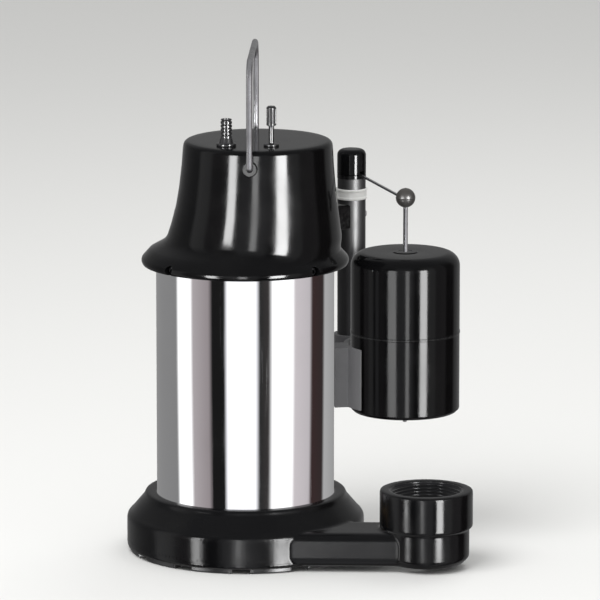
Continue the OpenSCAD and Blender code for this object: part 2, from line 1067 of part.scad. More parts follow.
module bail_handle() {
    leg_h = bail_top - bail_r - bail_bend - pivot_z;
    color("#b6b9bc")
    translate([pivot_x, 0, pivot_z]) {
        for (side = [0, 1])
            mirror([0, side, 0]) {
                translate([0, bail_y, 0])
                    cylinder(r = bail_r, h = leg_h);
                translate([0, bail_y, 0])
                    sphere(r = bail_r, $fn = 32);
                translate([0, bail_tip_y, 0])
                    rotate([-90, 0, 0])
                        cylinder(r = bail_r, h = bail_y - bail_tip_y);
                translate([0, bail_y - bail_bend, leg_h])
                    bail_corner();
            }
        translate([0, -bail_y + bail_bend, leg_h + bail_bend])
            rotate([-90, 0, 0])
                cylinder(r = bail_r, h = 2 * (bail_y - bail_bend));
    }
}

// ---- Screws under the base ----

module cover_screws() {
    color("#9a9da1")
    around(cover_screw_n, cover_screw_pcr, cover_screw_turn)
        translate([0, 0, strainer_h])
            cylinder(r = screw_r, h = cover_h + gasket_h + cover_screw_grip);
}

module strainer_screws() {
    color("#9a9da1")
    around(strainer_screw_n, strainer_screw_pcr, strainer_screw_turn) {
        translate([0, 0, strainer_plate_z - flat_head_h])
            cylinder(r = screw_head_r, h = flat_head_h);
        translate([0, 0, strainer_plate_z - 1])
            cylinder(r = screw_r, h = strainer_h + cover_h - strainer_plate_z - 1);
    }
}

// ---- Float switch ----

module float_guide() {
    color("#77797c")
    difference() {
        union() {
            at_float()
                translate([0, 0, guide_z])
                    intersection() {
                        ring(guide_in + guide_t, guide_in, guide_h);
                        translate([-60, -35, 0])
                            cube([60 - guide_reach, 62, guide_h]);
                    }
            rotate(web_turn)
                translate([shell_r - 1, -web_w / 2, guide_z])
                    cube([web_reach - guide_in - shell_r, web_w, guide_h]);
            translate([mast_x, mast_y, guide_z])
                cylinder(r = mast_r + socket_t, h = guide_h);
        }
        translate([0, 0, guide_z - 1])
            cylinder(r = shell_r + gap, h = guide_h + 2);
        at_float()
            translate([0, 0, guide_z - 1])
                cylinder(r = guide_in, h = guide_h + 2);
        translate([mast_x, mast_y, guide_z - 1])
            cylinder(r = mast_r + fit, h = guide_h + 2);
        for (z = stud_z)
            rotate(web_turn)
                translate([shell_r - 2, 0, z]) {
                    bar(stud_r + fit, 30);
                    translate([web_reach - guide_in - 4 - shell_r + 2, 0, 0])
                        bar(stud_nut_r + 0.2, 20);
                }
        rotate(arm_turn)
            translate([arm_reach - 20, 0, guide_z + guide_h / 2])
                bar(mast_screw_r + fit, 40);
    }
}

module guide_studs() {
    color("#b4b7ba")
    for (z = stud_z)
        rotate(web_turn)
            translate([shell_r + 0.02, 0, z])
                bar(stud_r, web_reach - guide_in - shell_r - 0.8);
}

module guide_nuts() {
    color("#c4c7ca")
    for (z = stud_z)
        rotate(web_turn)
            translate([web_reach - guide_in - 4 + 0.02, 0, z])
                difference() {
                    rotate([0, 90, 0])
                        hexagon(stud_nut_r, stud_nut_h);
                    translate([-1, 0, 0])
                        bar(stud_r + fit, 6);
                }
}

module switch_mast() {
    color("#2b2b2d")
    difference() {
        translate([mast_x, mast_y, mast_low + 3])
            ring(mast_r, mast_in, head_low - mast_low - 3);
        for (z = [guide_z + guide_h / 2, arm_z + arm_h / 2])
            rotate(arm_turn)
                translate([arm_reach - 12, 0, z])
                    bar(mast_screw_r + fit, 24);
    }
}

module mast_foot() {
    color("#1d1d1f")
    translate([mast_x, mast_y, mast_low]) {
        cylinder(r1 = mast_r - 2, r2 = mast_r, h = 3);
        cylinder(r = mast_in - 0.05, h = 9);
    }
}

module switch_head() {
    dome = 4;
    color("#121214")
    difference() {
        at_mast()
            rotate_extrude()
                polygon([
                    [0, head_low], [mast_r + 0.2, head_low],
                    for (a = [0 : 15 : 90])
                        [mast_r + 0.2 - dome + dome * cos(a), mast_top - dome + dome * sin(a)],
                    [0, mast_top]
                ]);
        at_mast() {
            translate([0, 0, head_low - 1])
                cylinder(r = mast_in, h = mast_top - head_low - 1.5);
            translate([2, -2.2, head_low - 1])
                cube([12, 4.4, 6]);
            translate([lever_u, -8.8, lever_z])
                rotate([-90, 0, 0])
                    cylinder(r = lever_pin_r + fit, h = 17.6);
        }
    }
}

module mast_collar() {
    color("#f2f2f0")
    translate([mast_x, mast_y, collar_low])
        ring(collar_r, mast_r + fit, collar_h);
}

// Long screws through the mast into its two arms; the lower one also passes the guide's socket
module mast_screws() {
    color("#8e9195")
    for (low = [0, 1])
        rotate(arm_turn)
            translate([arm_reach, 0, low ? guide_z + guide_h / 2 : arm_z + arm_h / 2]) {
                seat = mast_r + fit + (low ? socket_t : 0);
                translate([-19, 0, 0])
                    bar(mast_screw_r, 19 + seat + 1);
                translate([seat, 0, 0])
                    bar(mast_screw_head_r, 1.6);
            }
}

module microswitch() {
    color("#26272b")
    at_mast()
        difference() {
            translate([-6.4, -3, switch_z])
                cube([10.6, 6, switch_h]);
            translate([tail_u, 0, switch_z + 2])
                cylinder(r = 0.9 + fit, h = switch_h);
        }
}

module switch_plunger() {
    color("#e3ddcf")
    at_mast()
        translate([tail_u, 0, plunger_low])
            cylinder(r = 0.9, h = plunger_high - plunger_low);
}

module switch_lever() {
    color("#a9acb0")
    at_mast()
        translate([lever_u, 0, lever_z])
            rotate([0, lever_slope, 0])
                difference() {
                    union() {
                        bar(lever_r, lever_reach);
                        translate([-7.2, 0, 0])
                            bar(lever_r, 7.2);
                        translate([0, -2, 0])
                            rotate([-90, 0, 0])
                                cylinder(r = 2.2, h = 4);
                    }
                    translate([0, -3, 0])
                        rotate([-90, 0, 0])
                            cylinder(r = lever_pin_r + fit, h = 6);
                }
}

module lever_pin() {
    color("#c4c7ca")
    at_mast()
        translate([lever_u, -8.6, lever_z])
            rotate([-90, 0, 0])
                cylinder(r = lever_pin_r, h = 17.2);
}

module float_rod() {
    color("#c9cbce")
    at_float()
        translate([0, 0, float_z - stop_h - 3])
            cylinder(r = rod_r, h = ball_z + 4 - float_z + stop_h + 3);
}

module rod_ball() {
    color("#3a3836")
    difference() {
        at_float()
            translate([0, 0, ball_z])
                sphere(r = rod_ball_r, $fn = 48);
        at_float()
            translate([0, 0, ball_z - 10])
                cylinder(r = rod_r + fit, h = 14.05);
        at_mast()
            translate([mast_reach - 9, -1.4, ball_z - 2.6])
                cube([7.2, 2.8, 5.2]);
    }
}

module float_stop() {
    color("#1d1d1f")
    at_float()
        translate([0, 0, float_z - stop_h - 0.3])
            ring(stop_r, rod_r + fit, stop_h);
}

module float_outline(inset) {
    edge = float_edge - inset;
    top = float_z + float_h - inset;
    low = float_z + inset;
    polygon([
        [0, low], [float_r - inset - 2, low], [float_r - inset, low + 2],
        for (a = [0 : 15 : 90]) [float_r - inset - edge + edge * cos(a), top - edge + edge * sin(a)],
        [0, top]
    ]);
}

module float_skin() {
    at_float()
        difference() {
            rotate_extrude()
                float_outline(0);
            rotate_extrude()
                float_outline(float_t);
            translate([0, 0, float_z - 1])
                cylinder(r = sleeve_r + fit, h = float_h + 2);
        }
}

module float_upper_shell() {
    color("#0e0e10")
    intersection() {
        float_skin();
        at_float()
            translate([0, 0, float_split])
                cylinder(r = float_r + 5, h = float_h);
    }
}

module float_lower_shell() {
    color("#0e0e10")
    intersection() {
        float_skin();
        at_float()
            translate([0, 0, float_split - float_h])
                cylinder(r = float_r + 5, h = float_h);
    }
}

module float_sleeve() {
    color("#232325")
    at_float()
        translate([0, 0, float_z + 0.1])
            ring(sleeve_r, rod_r + 0.1, float_h - 0.2);
}

strainer_base();
suction_cover();
cover_gasket();
volute_casing();
impeller();
impeller_nut();
seal_spring();
seal_head();
seal_seat();
lower_bracket();
base_o_ring();
motor_shell();
motor_shaft();
rotor_core();
rotor_end_rings();
stator_core();
stator_windings();
thermal_protector();
lower_bearing_outer();
lower_bearing_inner();
lower_bearing_balls();
upper_bearing_outer();
upper_bearing_inner();
upper_bearing_balls();
upper_bracket();
through_bolts();
bolt_nuts();
run_capacitor();
capacitor_cup();
terminal_block();
cap_gasket();
top_cap();
cap_flange();
cap_roof();
mast_arm();
cap_screws();
cord_gland();
gland_nut();
fill_plug();
bail_handle();
cover_screws();
strainer_screws();
float_guide();
guide_studs();
guide_nuts();
switch_mast();
mast_foot();
switch_head();
mast_collar();
mast_screws();
microswitch();
switch_plunger();
switch_lever();
lever_pin();
float_rod();
rod_ball();
float_stop();
float_upper_shell();
float_lower_shell();
float_sleeve();
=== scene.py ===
"""A submersible sump pump with a side float switch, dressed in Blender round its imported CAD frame.

Millimetres are used for every length below, and MM turns them into Blender's metres. The motor axis is Z.
"""

import json
import math

import bmesh
import bpy
from mathutils import Matrix, Vector


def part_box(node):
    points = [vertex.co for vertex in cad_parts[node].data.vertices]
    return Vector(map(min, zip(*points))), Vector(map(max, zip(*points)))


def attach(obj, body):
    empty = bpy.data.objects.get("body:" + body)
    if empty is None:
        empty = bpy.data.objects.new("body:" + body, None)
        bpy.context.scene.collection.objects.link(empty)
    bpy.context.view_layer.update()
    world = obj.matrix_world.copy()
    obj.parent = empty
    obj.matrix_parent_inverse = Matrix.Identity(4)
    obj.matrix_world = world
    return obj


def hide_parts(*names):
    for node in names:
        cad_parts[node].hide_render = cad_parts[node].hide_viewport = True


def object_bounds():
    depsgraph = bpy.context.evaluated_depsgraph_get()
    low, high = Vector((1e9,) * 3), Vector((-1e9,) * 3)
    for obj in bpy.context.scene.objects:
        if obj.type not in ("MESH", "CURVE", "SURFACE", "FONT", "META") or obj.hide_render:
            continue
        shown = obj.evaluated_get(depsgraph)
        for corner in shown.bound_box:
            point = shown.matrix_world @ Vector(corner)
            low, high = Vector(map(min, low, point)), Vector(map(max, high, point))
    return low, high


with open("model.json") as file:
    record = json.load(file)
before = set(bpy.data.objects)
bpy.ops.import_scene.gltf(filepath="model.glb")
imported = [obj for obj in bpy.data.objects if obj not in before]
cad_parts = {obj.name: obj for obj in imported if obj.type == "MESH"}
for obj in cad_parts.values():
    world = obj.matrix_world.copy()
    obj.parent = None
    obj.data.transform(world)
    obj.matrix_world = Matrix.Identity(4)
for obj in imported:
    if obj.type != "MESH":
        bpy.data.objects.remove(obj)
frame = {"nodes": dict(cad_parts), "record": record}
cad_low, cad_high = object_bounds()

MM = 0.001
FINE = 160
TINY = 1e-6
SMOOTH_ANGLE = math.radians(32)


# ---- places, read from the frame

def low(node):
    """The node's lowest corner, in mm."""
    return [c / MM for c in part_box(node)[0]]


def high(node):
    """The node's highest corner, in mm."""
    return [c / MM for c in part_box(node)[1]]


def middle(node):
    """The middle of the node's box, in mm."""
    return [(a + b) / 2 for a, b in zip(low(node), high(node))]


shell_low, shell_high = low("motor_shell")[2], high("motor_shell")[2]
shell_r = high("motor_shell")[0]
cap_low, cap_high = low("cap_flange")[2], high("cap_roof")[2]
flange_r = -low("cap_flange")[0]
base_low = low("volute_casing")[2]
cover_low, cover_high = low("suction_cover")[2], high("suction_cover")[2]
base_r = -low("suction_cover")[0]
strainer_r = high("strainer_base")[0]
strainer_high = high("strainer_base")[2]
hub_top = high("volute_casing")[2]
hub_r = 30.2
hub_x = high("volute_casing")[0] - hub_r
hub_y = low("volute_casing")[1] + hub_r
FLOAT_AT = float_x, float_y = middle("float_rod")[:2]
float_r = (high("float_upper_shell")[0] - low("float_upper_shell")[0]) / 2
float_low, float_high = low("float_lower_shell")[2], high("float_upper_shell")[2]
float_split = high("float_lower_shell")[2]
MAST_AT = mast_x, mast_y = middle("switch_mast")[:2]
mast_r = (high("switch_mast")[0] - low("switch_mast")[0]) / 2
mast_low, mast_high = low("switch_mast")[2], high("switch_mast")[2]
arm_angle = math.atan2(mast_y, mast_x)
head_high = high("switch_head")[2]
collar_low, collar_high = low("mast_collar")[2], high("mast_collar")[2]
ball_r = (high("rod_ball")[0] - low("rod_ball")[0]) / 2
ball_z = high("rod_ball")[2] - ball_r
bail_r = 2.0
bail_x = middle("bail_handle")[0]
pivot_z, bail_high = low("bail_handle")[2] + bail_r, high("bail_handle")[2]
guide_low, guide_high = low("float_guide")[2], high("float_guide")[2]
arm_low, arm_high = low("mast_arm")[2], high("mast_arm")[2]
foot_z = low("top_cap")[2]
gasket_top = high("cap_gasket")[2]
cap_screw_z = middle("cap_screws")[2]
lever_z = middle("lever_pin")[2]
switch_z = low("microswitch")[2]
pump_middle = Vector([(a + b) / 2 for a, b in zip(cad_low, cad_high)])
SLOTS = {entry["node"]: entry["material_slot"] for entry in frame["record"]["subparts"]}


# ---- camera, floor and light

def aim(thing, target):
    """Turns a camera or light to face a point, in metres."""
    thing.rotation_mode = "QUATERNION"
    thing.rotation_quaternion = (Vector(target) - thing.location).to_track_quat("-Z", "Y")


def towards(azimuth, elevation):
    """A direction from the pump, in degrees. Azimuth 0 is the front, and grows towards +X."""
    a, e = math.radians(azimuth), math.radians(elevation)
    return Vector((math.sin(a) * math.cos(e), -math.cos(a) * math.cos(e), math.sin(e)))


def add_camera():
    data = bpy.data.cameras.new("camera")
    data.lens = 350
    data.sensor_width = 36
    data.dof.use_dof = False
    data.clip_end = 60
    camera = bpy.data.objects.new("camera", data)
    bpy.context.scene.collection.objects.link(camera)
    camera.location = pump_middle + towards(1.8, 11) * 3.8
    aim(camera, pump_middle)
    bpy.context.scene.camera = camera


def add_floor():
    """A wide pale disc, shown to the camera but not mirrored in the glossy parts."""
    bm = bmesh.new()
    bmesh.ops.create_circle(bm, cap_ends=True, segments=96, radius=14)
    mesh = bpy.data.meshes.new("studio_floor")
    bm.to_mesh(mesh)
    bm.free()
    floor = bpy.data.objects.new("studio_floor", mesh)
    bpy.context.scene.collection.objects.link(floor)
    floor.location.z = -0.0002
    floor.visible_glossy = False
    material = bpy.data.materials.new("studio_floor")
    material.use_nodes = True
    shader = material.node_tree.nodes["Principled BSDF"]
    shader.inputs["Base Color"].default_value = (0.72, 0.72, 0.71, 1)
    shader.inputs["Roughness"].default_value = 0.9
    shader.inputs["Specular IOR Level"].default_value = 0.1
    mesh.materials.append(material)


# Studio panels as a ring of tones: azimuth from the camera's side, in degrees towards +X, and the tone there
PANELS = (
    (-180, (0.30, 0.30, 0.30)), (-98, (0.27, 0.27, 0.27)), (-93, (1.6, 1.6, 1.6)), (-74, (1.6, 1.6, 1.6)),
    (-69, (0.50, 0.46, 0.47)), (-46, (0.36, 0.32, 0.33)), (-41, (0.012, 0.012, 0.012)),
    (-25, (0.012, 0.012, 0.012)), (-20, (1.5, 1.5, 1.55)), (15, (1.5, 1.5, 1.55)), (21, (0.03, 0.03, 0.03)),
    (33, (0.05, 0.045, 0.045)), (39, (1.7, 1.7, 1.7)), (65, (1.6, 1.6, 1.6)), (70, (0.72, 0.67, 0.69)),
    (94, (0.62, 0.58, 0.60)), (99, (0.05, 0.03, 0.03)), (122, (0.04, 0.03, 0.03)), (128, (0.48, 0.48, 0.48)),
    (180, (0.30, 0.30, 0.30)),
)


class Tree:
    """A node tree, with a short way to add a node and fill its inputs."""

    def __init__(self, tree):
        self.tree = tree

    def node(self, kind, inputs=None, **settings):
        """Adds a node. Each input is a value, or an output to link from."""
        made = self.tree.nodes.new(kind)
        for key, value in settings.items():
            setattr(made, key, value)
        for key, value in (inputs or {}).items():
            self.fill(made.inputs[key], value)
        return made

    def fill(self, socket, value):
        if isinstance(value, bpy.types.NodeSocket):
            self.tree.links.new(value, socket)
        else:
            socket.default_value = value


def add_world():
    """Even white light for matt surfaces, a pale backdrop, and a ring of panels for mirror-like ones."""
    world = bpy.data.worlds.new("studio")
    bpy.context.scene.world = world
    world.use_nodes = True
    world.node_tree.nodes.clear()
    t = Tree(world.node_tree)
    coords = t.node("ShaderNodeTexCoord")
    way = t.node("ShaderNodeSeparateXYZ", {0: coords.outputs["Generated"]}).outputs
    away = t.node("ShaderNodeMath", {0: way["Y"], 1: -1}, operation="MULTIPLY")
    turn = t.node("ShaderNodeMath", {0: way["X"], 1: away.outputs[0]}, operation="ARCTAN2")
    share = t.node("ShaderNodeMapRange", {"Value": turn.outputs[0], "From Min": -math.pi, "From Max": math.pi})
    ramp = t.node("ShaderNodeValToRGB", {0: share.outputs[0]})
    stops = ramp.color_ramp.elements
    stops[0].position, stops[0].color = 0, (*PANELS[0][1], 1)
    stops[-1].position, stops[-1].color = 1, (*PANELS[-1][1], 1)
    for azimuth, tone in PANELS[1:-1]:
        stops.new((azimuth + 180) / 360).color = (*tone, 1)
    # Overhead the panels give way to a soft even ceiling
    ceiling = t.node("ShaderNodeMapRange", {"Value": way["Z"], "From Min": 0.35, "From Max": 0.75})
    glossy = t.node("ShaderNodeMix", {
        "Factor": ceiling.outputs[0], "A": ramp.outputs["Color"], "B": (0.55, 0.55, 0.56, 1),
    }, data_type="RGBA")
    panels = t.node("ShaderNodeBackground", {"Color": glossy.outputs["Result"]})
    plain = t.node("ShaderNodeBackground", {"Color": (0.93, 0.93, 0.92, 1), "Strength": 0.75})
    mirrored = t.node("ShaderNodeLightPath").outputs["Is Glossy Ray"]
    choose = t.node("ShaderNodeMixShader", {0: mirrored, 1: plain.outputs[0], 2: panels.outputs[0]})
    t.node("ShaderNodeOutputWorld", {"Surface": choose.outputs[0]})


def strip_light(name, azimuth, elevation, distance, width, height, power, lit=()):
    """A soft panel at an azimuth from the camera's side. With pieces named, it only draws highlights on those."""
    data = bpy.data.lights.new(name, "AREA")
    data.shape = "RECTANGLE"
    data.size, data.size_y = width, height
    data.energy = power
    light = bpy.data.objects.new(name, data)
    bpy.context.scene.collection.objects.link(light)
    light.location = pump_middle + towards(azimuth, elevation) * distance
    aim(light, pump_middle)
    light.visible_camera = False
    if lit:
        # A highlight only: the black stays as dark beside it as it is elsewhere
        receivers = bpy.data.collections.new(name)
        for piece in lit:
            receivers.objects.link(bpy.data.objects[piece])
        light.light_linking.receiver_collection = receivers
        light.visible_diffuse = False
    return light


# ---- mesh building

def fillet(points, radius, closed=True, steps=4):
    """Rounds an outline's corners. radius is one number, or one for each corner."""
    out = []
    count = len(points)
    for i, here in enumerate(points):
        r = radius[i] if isinstance(radius, (list, tuple)) else radius
        if r <= 0 or (not closed and i in (0, count - 1)):
            out.append(tuple(here))
            continue
        p = Vector(here)
        a = Vector(points[i - 1]) - p
        b = Vector(points[(i + 1) % count]) - p
        half = a.angle(b) / 2
        if half > math.radians(86):
            out.append(tuple(here))
            continue
        reach = min(r / math.tan(half), 0.48 * a.length, 0.48 * b.length)
        r = reach * math.tan(half)
        a.normalize()
        b.normalize()
        centre = p + (a + b).normalized() * (r / math.sin(half))
        start = p + a * reach - centre
        end = p + b * reach - centre
        first = math.atan2(start.y, start.x)
        sweep = (math.atan2(end.y, end.x) - first + math.pi) % (2 * math.pi) - math.pi
        for k in range(steps + 1):
            t = first + sweep * k / steps
            out.append((centre.x + r * math.cos(t), centre.y + r * math.sin(t)))
    return out


def make(name, bm, bevel=None, sharp=SMOOTH_ANGLE):
    """Turns a bmesh in mm into a smooth-shaded object in metres."""
    bmesh.ops.remove_doubles(bm, verts=bm.verts, dist=1e-4)
    bmesh.ops.recalc_face_normals(bm, faces=bm.faces)
    bmesh.ops.scale(bm, vec=(MM, MM, MM), verts=bm.verts)
    mesh = bpy.data.meshes.new(name)
    bm.to_mesh(mesh)
    bm.free()
    thing = bpy.data.objects.new(name, mesh)
    bpy.context.scene.collection.objects.link(thing)
    if bevel:
        round_edges(thing, bevel)
    shade(thing, sharp)
    return thing


def shade(thing, sharp=SMOOTH_ANGLE):
    mesh = thing.data
    mesh.polygons.foreach_set("use_smooth", [True] * len(mesh.polygons))
    mesh.set_sharp_from_angle(angle=sharp)


def apply_modifiers(thing):
    """Makes the modified shape the object's own mesh."""
    graph = bpy.context.evaluated_depsgraph_get()
    mesh = bpy.data.meshes.new_from_object(thing.evaluated_get(graph))
    thing.modifiers.clear()
    old = thing.data
    thing.data = mesh
    bpy.data.meshes.remove(old)


def round_edges(thing, width, segments=3, angle=40):
    bevel = thing.modifiers.new("round", "BEVEL")
    bevel.width = width * MM
    bevel.segments = segments
    bevel.limit_method = "ANGLE"
    bevel.angle_limit = math.radians(angle)
    bevel.use_clamp_overlap = True
    apply_modifiers(thing)


def combine(thing, others, operation):
    """Joins or cuts closed shapes exactly, and removes the others."""
    for other in others:
        step = thing.modifiers.new("combine", "BOOLEAN")
        step.operation = operation
        step.solver = "EXACT"
        step.object = other
        apply_modifiers(thing)
    for other in others:
        mesh = other.data
        bpy.data.objects.remove(other)
        bpy.data.meshes.remove(mesh)
    shade(thing)
    return thing


def cut(thing, *others):
    return combine(thing, others, "DIFFERENCE")


def fuse(thing, *others):
    return combine(thing, others, "UNION")


def lathe(bm, outline, at=(0, 0), segments=FINE, closed=True):
    """Turns an outline of (radius, height) round a vertical axis. A third number shifts that ring in x."""
    rings = []
    for r, z, *shift in outline:
        x, y = at[0] + sum(shift), at[1]
        if r < TINY:
            rings.append([bm.verts.new((x, y, z))])
            continue
        angles = (2 * math.pi * k / segments for k in range(segments))
        rings.append([bm.verts.new((x + r * math.cos(a), y + r * math.sin(a), z)) for a in angles])
    pairs = list(zip(rings, rings[1:]))
    if closed and len(rings[0]) > 1 and len(rings[-1]) > 1:
        pairs.append((rings[-1], rings[0]))
    for a, b in pairs:
        if len(a) == 1 and len(b) == 1:
            continue
        for k in range(segments):
            j = (k + 1) % segments
            if len(a) == 1:
                bm.faces.new((a[0], b[k], b[j]))
            elif len(b) == 1:
                bm.faces.new((a[k], b[0], a[j]))
            else:
                bm.faces.new((a[k], b[k], b[j], a[j]))


def turned(name, outline, at=(0, 0), segments=FINE, closed=True, **more):
    """An object made by turning an outline."""
    bm = bmesh.new()
    lathe(bm, outline, at, segments, closed)
    return make(name, bm, **more)


def arc(x, z, r, degrees):
    """Points on a round stretch about (x, z), one for each angle."""
    return [(x + r * math.cos(a), z + r * math.sin(a)) for a in map(math.radians, degrees)]


def band(inner, outer, bottom, top):
    """The outline of a plain ring."""
    return [(inner, bottom), (outer, bottom), (outer, top), (inner, top)]


def around(count, radius, first=0, at=(0, 0)):
    """Points evenly spaced on a circle, from an angle in degrees."""
    angles = (math.radians(first + 360 * k / count) for k in range(count))
    return [(at[0] + radius * math.cos(a), at[1] + radius * math.sin(a)) for a in angles]


def tube(bm, path, r, sides=16, ends=True):
    """A round bar along a path of points, in mm. r is one radius, or one for each point."""
    points = [Vector(p) for p in path]
    radii = r if isinstance(r, (list, tuple)) else [r] * len(points)
    normal = None
    rings = []
    for i, p in enumerate(points):
        ahead = points[min(i + 1, len(points) - 1)] - points[max(i - 1, 0)]
        ahead.normalize()
        if normal is None:
            normal = ahead.orthogonal().normalized()
        normal = (normal - ahead * normal.dot(ahead)).normalized()
        side = ahead.cross(normal)
        rings.append([
            bm.verts.new(p + (normal * math.cos(t) + side * math.sin(t)) * radii[i])
            for t in (2 * math.pi * k / sides for k in range(sides))
        ])
    for a, b in zip(rings, rings[1:]):
        for k in range(sides):
            j = (k + 1) % sides
            bm.faces.new((a[k], a[j], b[j], b[k]))
    if ends:
        bm.faces.new(list(reversed(rings[0])))
        bm.faces.new(rings[-1])


def pin(bm, start, direction, r, length, sides=32, chamfer=0.3):
    """A straight bar with chamfered ends."""
    start, direction = Vector(start), Vector(direction).normalized()
    c = min(chamfer, r / 3, length / 3)
    stations = [(r - c, 0), (r, c), (r, length - c), (r - c, length)]
    tube(bm, [start + direction * along for _, along in stations], [wide for wide, _ in stations], sides)


def upright(degrees):
    """A turn about the vertical."""
    return Matrix.Rotation(math.radians(degrees), 4, "Z")


def block(bm, low_corner, high_corner, turn=None):
    """A box between two corners, turned by a matrix afterwards."""
    made = bmesh.ops.create_cube(bm, size=1)["verts"]
    size = [b - a for a, b in zip(low_corner, high_corner)]
    centre = [(a + b) / 2 for a, b in zip(low_corner, high_corner)]
    bmesh.ops.scale(bm, vec=size, verts=made)
    bmesh.ops.translate(bm, vec=centre, verts=made)
    if turn:
        bmesh.ops.transform(bm, matrix=turn, verts=made)


def shape(builder, *args, name="tool", **more):
    """A closed shape by one builder. Without a name it is thrown away after cutting or joining."""
    bm = bmesh.new()
    builder(bm, *args, **more)
    return make(name, bm)


def shapes(builder, calls):
    """Several throwaway shapes by one builder."""
    bm = bmesh.new()
    for args in calls:
        builder(bm, *args)
    return make("tool", bm)


def place(thing, *nodes, body="root", material=None):
    """Gives a piece its body, the CAD nodes that it stands for, and their material unless it has its own."""
    thing.data.materials.clear()
    thing.data.materials.append(material or materials[SLOTS[nodes[0]]])
    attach(thing, body)
    if nodes:
        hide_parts(*nodes)


# ---- materials

class Finish(Tree):
    """A procedural material: colour, roughness and bump that vary over the surface, in the part's own space."""

    def __init__(self, name, colour, roughness, metallic=0.0, specular=0.5, coat=0.0, coat_roughness=0.05):
        self.material = bpy.data.materials.new(name)
        self.material.use_nodes = True
        super().__init__(self.material.node_tree)
        self.shader = self.tree.nodes["Principled BSDF"].inputs
        self.shader["Metallic"].default_value = metallic
        self.shader["Specular IOR Level"].default_value = specular
        self.shader["Coat Weight"].default_value = coat
        self.shader["Coat Roughness"].default_value = coat_roughness
        self.coords = self.node("ShaderNodeTexCoord").outputs["Object"]
        self.colour = (*colour, 1)
        self.roughness = roughness
        self.normal = None

    def stretched(self, scale):
        """Coordinates stretched along the axes, for grain that runs one way."""
        return self.node("ShaderNodeMapping", {"Scale": scale, "Vector": self.coords}).outputs[0]

    def noise(self, scale, detail=4.0, coords=None, roughness=0.55):
        return self.node("ShaderNodeTexNoise", {
            "Scale": scale, "Detail": detail, "Roughness": roughness, "Vector": coords or self.coords,
        }).outputs["Fac"]

    def waves(self, inputs):
        """Level bands, stacked along the height."""
        inputs["Vector"] = self.coords
        return self.node("ShaderNodeTexWave", inputs, wave_type="BANDS", bands_direction="Z").outputs["Fac"]

    def spread(self, source, from_low, from_high, to_low=0, to_high=1):
        return self.node("ShaderNodeMapRange", {
            "Value": source, "From Min": from_low, "From Max": from_high, "To Min": to_low, "To Max": to_high,
        }).outputs[0]

    def math(self, operation, a, b):
        return self.node("ShaderNodeMath", {0: a, 1: b}, operation=operation).outputs[0]

    def tint(self, mask, colour):
        """Mixes another colour in where the mask is 1."""
        inputs = {"Factor": mask, "A": self.colour, "B": (*colour, 1)}
        self.colour = self.node("ShaderNodeMix", inputs, data_type="RGBA").outputs["Result"]

    def roughen(self, mask, by):
        self.roughness = self.math("ADD", self.roughness, self.math("MULTIPLY", mask, by))

    def bump(self, height, depth_mm, strength=1.0):
        inputs = {"Strength": strength, "Distance": depth_mm * MM, "Height": height}
        if self.normal is not None:
            inputs["Normal"] = self.normal
        self.normal = self.node("ShaderNodeBump", inputs).outputs[0]

    def edges(self, colour, amount=0.6, rough=0.0):
        """Rubbed edges, where the surface turns outwards sharply."""
        sharpness = self.spread(self.node("ShaderNodeNewGeometry").outputs["Pointiness"], 0.52, 0.62)
        broken = self.spread(self.noise(420, 5), 0.42, 0.62, 0.0, amount)
        mask = self.math("MULTIPLY", sharpness, broken)
        self.tint(mask, colour)
        if rough:
            self.roughen(mask, rough)

    def done(self):
        self.fill(self.shader["Base Color"], self.colour)
        self.fill(self.shader["Roughness"], self.roughness)
        if self.normal is not None:
            self.fill(self.shader["Normal"], self.normal)
        return self.material


def mirror_steel():
    """Polished stainless sheet: faint upright grain, hair scratches and dulled patches."""
    f = Finish("mirror_steel", (0.80, 0.80, 0.81), 0.045, metallic=1.0)
    grain = f.noise(260, 3, f.stretched((1, 1, 0.03)))
    patches = f.noise(24, 3)
    scratches = f.noise(900, 2, f.stretched((1, 1, 0.012)), roughness=0.8)
    f.roughen(f.spread(patches, 0.45, 0.75), 0.05)
    f.roughen(f.spread(scratches, 0.62, 0.72), 0.12)
    f.tint(f.spread(patches, 0.5, 0.8, 0, 0.25), (0.70, 0.70, 0.71))
    f.bump(grain, 0.004, 0.5)
    return f.done()


def black_moulding(name, base=0.010, roughness=0.13, texture=0.02, wear=0.35, specular=0.09):
    """Glossy black plastic with moulding ripple, fine dust-dull patches and rubbed edges."""
    f = Finish(name, (base, base, base * 1.1), roughness, specular=specular)
    ripple = f.noise(95, 2)
    fine = f.noise(1400, 3)
    patches = f.noise(30, 4)
    f.roughen(f.spread(patches, 0.45, 0.75), 0.10)
    f.roughen(f.spread(fine, 0.55, 0.7), 0.05)
    f.tint(f.spread(patches, 0.5, 0.85, 0, 0.5), (base * 2.4, base * 2.4, base * 2.4))
    f.edges((0.09, 0.09, 0.09), wear, 0.12)
    f.bump(ripple, texture, 0.5)
    f.bump(fine, 0.006, 0.35)
    return f.done()


def black_enamel():
    """Thick glossy enamel over cast iron: the casting's skin shows through, and edges are chipped."""
    f = Finish("black_enamel", (0.0035, 0.0035, 0.004), 0.15, specular=0.12)
    casting = f.noise(170, 5, roughness=0.6)
    ripple = f.noise(60, 2)
    patches = f.noise(26, 4)
    f.roughen(f.spread(patches, 0.42, 0.75), 0.16)
    f.tint(f.spread(patches, 0.5, 0.85, 0, 0.5), (0.009, 0.009, 0.0085))
    f.edges((0.07, 0.065, 0.06), 0.4, 0.2)
    f.bump(ripple, 0.10, 0.5)
    f.bump(casting, 0.06, 0.4)
    return f.done()


